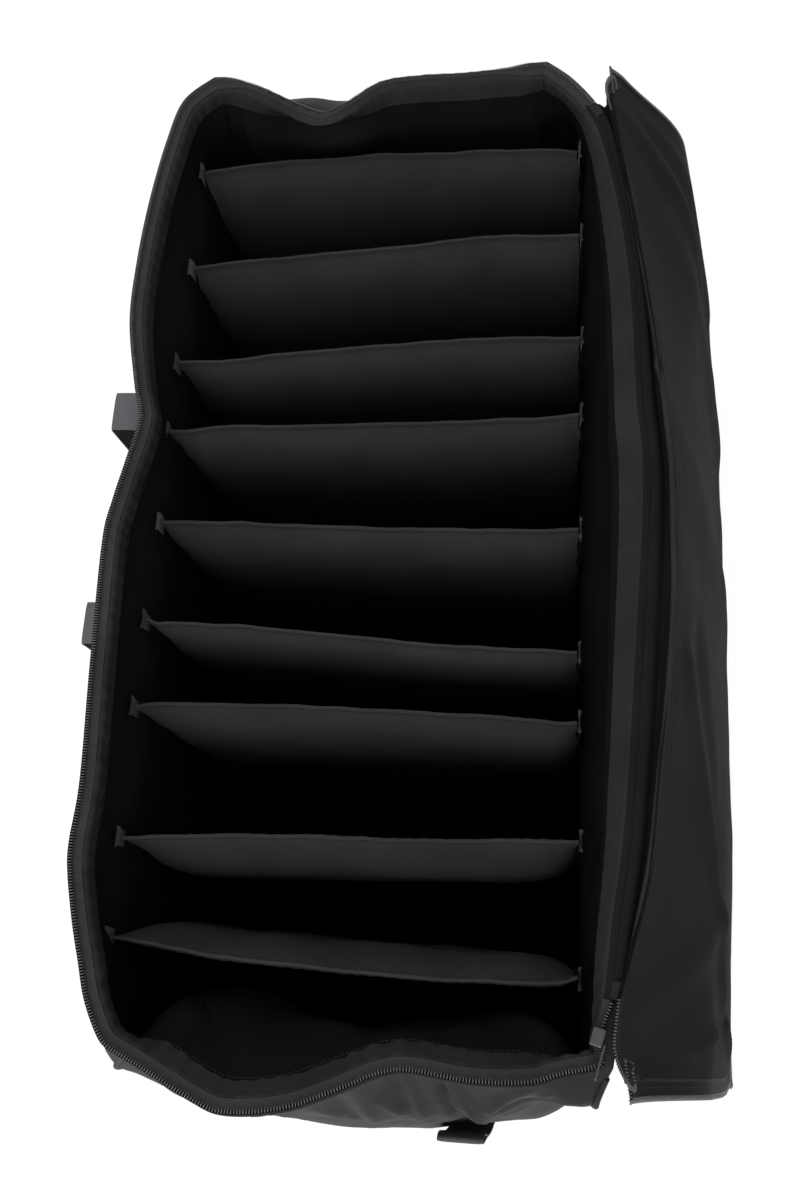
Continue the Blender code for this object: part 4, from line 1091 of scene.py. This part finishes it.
for wall, (side, drop, *legs) in HANDLES.items():
    spin = Matrix.Rotation(side * math.pi / 2, 3, "Z")
    out, along = spin @ Vector((1, 0, 0)), spin @ Vector((0, 1, 0))
    axis_z, hangs = MOUTH_Z - drop, []
    length = 2 * (BASE_HALF[1 - side % 2] - CORNER + CORNER * math.pi / 4)

    def wall_out(place, z):
        """How far out the wall stands at one place along it."""
        return wall_at(side + 0.5 + place / length, z)[0].dot(out)

    for letter, (place, stand_out) in zip("ab", legs):
        frames = []
        for k in range(25):
            z = STRAP_FOOT + (axis_z - 0.016 - STRAP_FOOT) * k / 24
            reach = max(wall_out(place + edge, z) for edge in (-WEB_WIDE / 2, 0, WEB_WIDE / 2))
            frames.append((out * (reach + STRAP_OFF) + along * place + UP * z, along, out))
        root = frames[-1][0].dot(out)
        hang = max(BASE_HALF[side % 2] + stand_out, root + 0.0050)
        hangs.append(hang)
        for k in range(1, 7):
            turn = math.pi / 2 * k / 6
            lean = out * math.cos(turn) - UP * math.sin(turn)
            step = (hang - 0.0005 - root) * (1 - math.cos(turn)) * 0.85
            z = axis_z - 0.014 + 0.0135 * math.sin(turn)
            frames.append((out * (root + step) + along * place + UP * z, along, lean))
        tip = out * (hang - 0.0005) + along * place + UP * (axis_z - 0.0006)
        frames.append((tip, along, -UP))
        strap = web_band(f"{wall}_strap_{letter}", frames, None)
        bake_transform(strap)
        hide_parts(f"{wall}_handle_strap_{letter}")

    # The loop's path from one fold to the other: along the wall, down from the folds, and its turn
    half_gap, middle = (legs[1][0] - legs[0][0]) / 2, (legs[0][0] + legs[1][0]) / 2
    path = [(-half_gap, -0.0022 - (LOOP_DROP - 0.0022) * k / 8, 0.0) for k in range(9)]
    for k in range(1, 10):
        turn = math.pi / 2 * k / 9
        path.append((-half_gap + LOOP_ROUND * (1 - math.cos(turn)), -LOOP_DROP - LOOP_ROUND * math.sin(turn), turn))
    path += [(-x, z, math.pi - turn) for x, z, turn in reversed(path)]
    loop = []
    for x, z, turn in path:
        hang = hangs[0] + (hangs[1] - hangs[0]) * (x + half_gap) / (2 * half_gap)
        for way in (-WEB_WIDE / 2, 0, WEB_WIDE / 2):
            height = min(axis_z + z + way * math.sin(turn), axis_z)
            hang = max(hang, wall_out(middle + x + way * math.cos(turn), height) + LOOP_OFF)
        point = out * hang + along * (middle + x) + UP * (axis_z + z)
        across = along * math.cos(turn) + UP * math.sin(turn)
        twist = 0.35 * math.sin(turn * 2) * (1 if x < 0 else -1)
        face = out * math.cos(twist) + across.cross(out) * math.sin(twist)
        loop.append((point, (across * math.cos(twist) - out * math.sin(twist) * 0.5).normalized(), face))
    grip = web_band(f"{wall}_loop", loop, f"{wall}_handle")
    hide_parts(f"{wall}_handle")


# Zip slider and its pull: bright nickel, astride the coil by the near corner of the hinge side.
def metal_finish(name):
    """Nickel plate with faint brushing and finger marks."""
    finish, tree, shader = start_finish(name)
    where = add_node(tree, "TexCoord", {}).outputs["Object"]
    marks = add_node(tree, "TexNoise", {"Scale": 400.0, "Detail": 5.0, "Vector": where}).outputs["Fac"]
    rough = add_node(tree, "MapRange", {"Value": marks, "To Min": 0.28, "To Max": 0.50}).outputs["Result"]
    set_inputs(tree, shader, {"Metallic": 1.0, "Base Color": (0.115, 0.116, 0.119, 1), "Roughness": rough})
    return finish


nickel = metal_finish("nickel_plate")
for node in ("zip_slider", "slider_pull"):
    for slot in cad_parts[node].material_slots:
        slot.material = nickel


# Studio: a white floor that shows only the bag's faint shadow, a broad soft lamp at the near end, a weaker
# one beyond the far end, and a pale sky that looks white.
FLOOR_HALF, FLOOR_Z = 9, -0.0005
FLOOR_LIGHT, FLOOR_SHADOW = 1.10, 0.15
SKY_LIGHT = 0.38
LAMP_SIZE = 2.4
LAMPS_AIM = Vector((0, 0, 0.2))


def plain_white(name):
    """White to the eye, but still darkened a little where the bag shades it."""
    finish, tree, shader = start_finish(name)
    set_inputs(tree, shader, {"Base Color": (0.9, 0.9, 0.9, 1), "Roughness": 0.9})
    light = add_node(tree, "Emission", {"Strength": FLOOR_LIGHT}).outputs["Emission"]
    rays = add_node(tree, "LightPath", {}).outputs
    eyed = {0: rays["Is Camera Ray"], 1: rays["Is Glossy Ray"]}
    seen = add_node(tree, "Math", eyed, operation="MAXIMUM").outputs["Value"]
    much = add_node(tree, "Math", {0: seen, 1: 1 - FLOOR_SHADOW}, operation="MULTIPLY").outputs["Value"]
    mix = add_node(tree, "MixShader", {"Fac": much, 1: shader.outputs["BSDF"], 2: light}).outputs["Shader"]
    set_inputs(tree, tree.nodes["Material Output"], {"Surface": mix})
    return finish


bm = bmesh.new()
bmesh.ops.create_grid(bm, x_segments=1, y_segments=1, size=FLOOR_HALF)
floor_mesh = bpy.data.meshes.new("floor")
bm.to_mesh(floor_mesh)
bm.free()
floor_mesh.materials.append(plain_white("white_floor"))
floor = bpy.data.objects.new("floor", floor_mesh)
floor.location.z = FLOOR_Z
scene.collection.objects.link(floor)

for name, power, place in (("softbox", 46.0, (-0.20, -2.20, 2.10)), ("fill", 21.0, (-0.35, 1.30, 2.60))):
    lamp = bpy.data.objects.new(name, bpy.data.lights.new(name, "AREA"))
    lamp.data.size = LAMP_SIZE
    lamp.data.energy = power
    lamp.location = place
    lamp.rotation_euler = (LAMPS_AIM - Vector(place)).to_track_quat("-Z", "Y").to_euler()
    scene.collection.objects.link(lamp)

sky = bpy.data.worlds.new("sky")
sky.use_nodes = True
tree = sky.node_tree
glow = tree.nodes["Background"]
set_inputs(tree, glow, {"Color": (1, 1, 1, 1), "Strength": SKY_LIGHT})
white = add_node(tree, "Background", {"Color": (1, 1, 1, 1), "Strength": 1.0}).outputs["Background"]
seen = add_node(tree, "LightPath", {}).outputs["Is Camera Ray"]
choose = add_node(tree, "MixShader", {"Fac": seen, 1: glow.outputs["Background"], 2: white}).outputs["Shader"]
set_inputs(tree, tree.nodes["World Output"], {"Surface": choose})
scene.world = sky
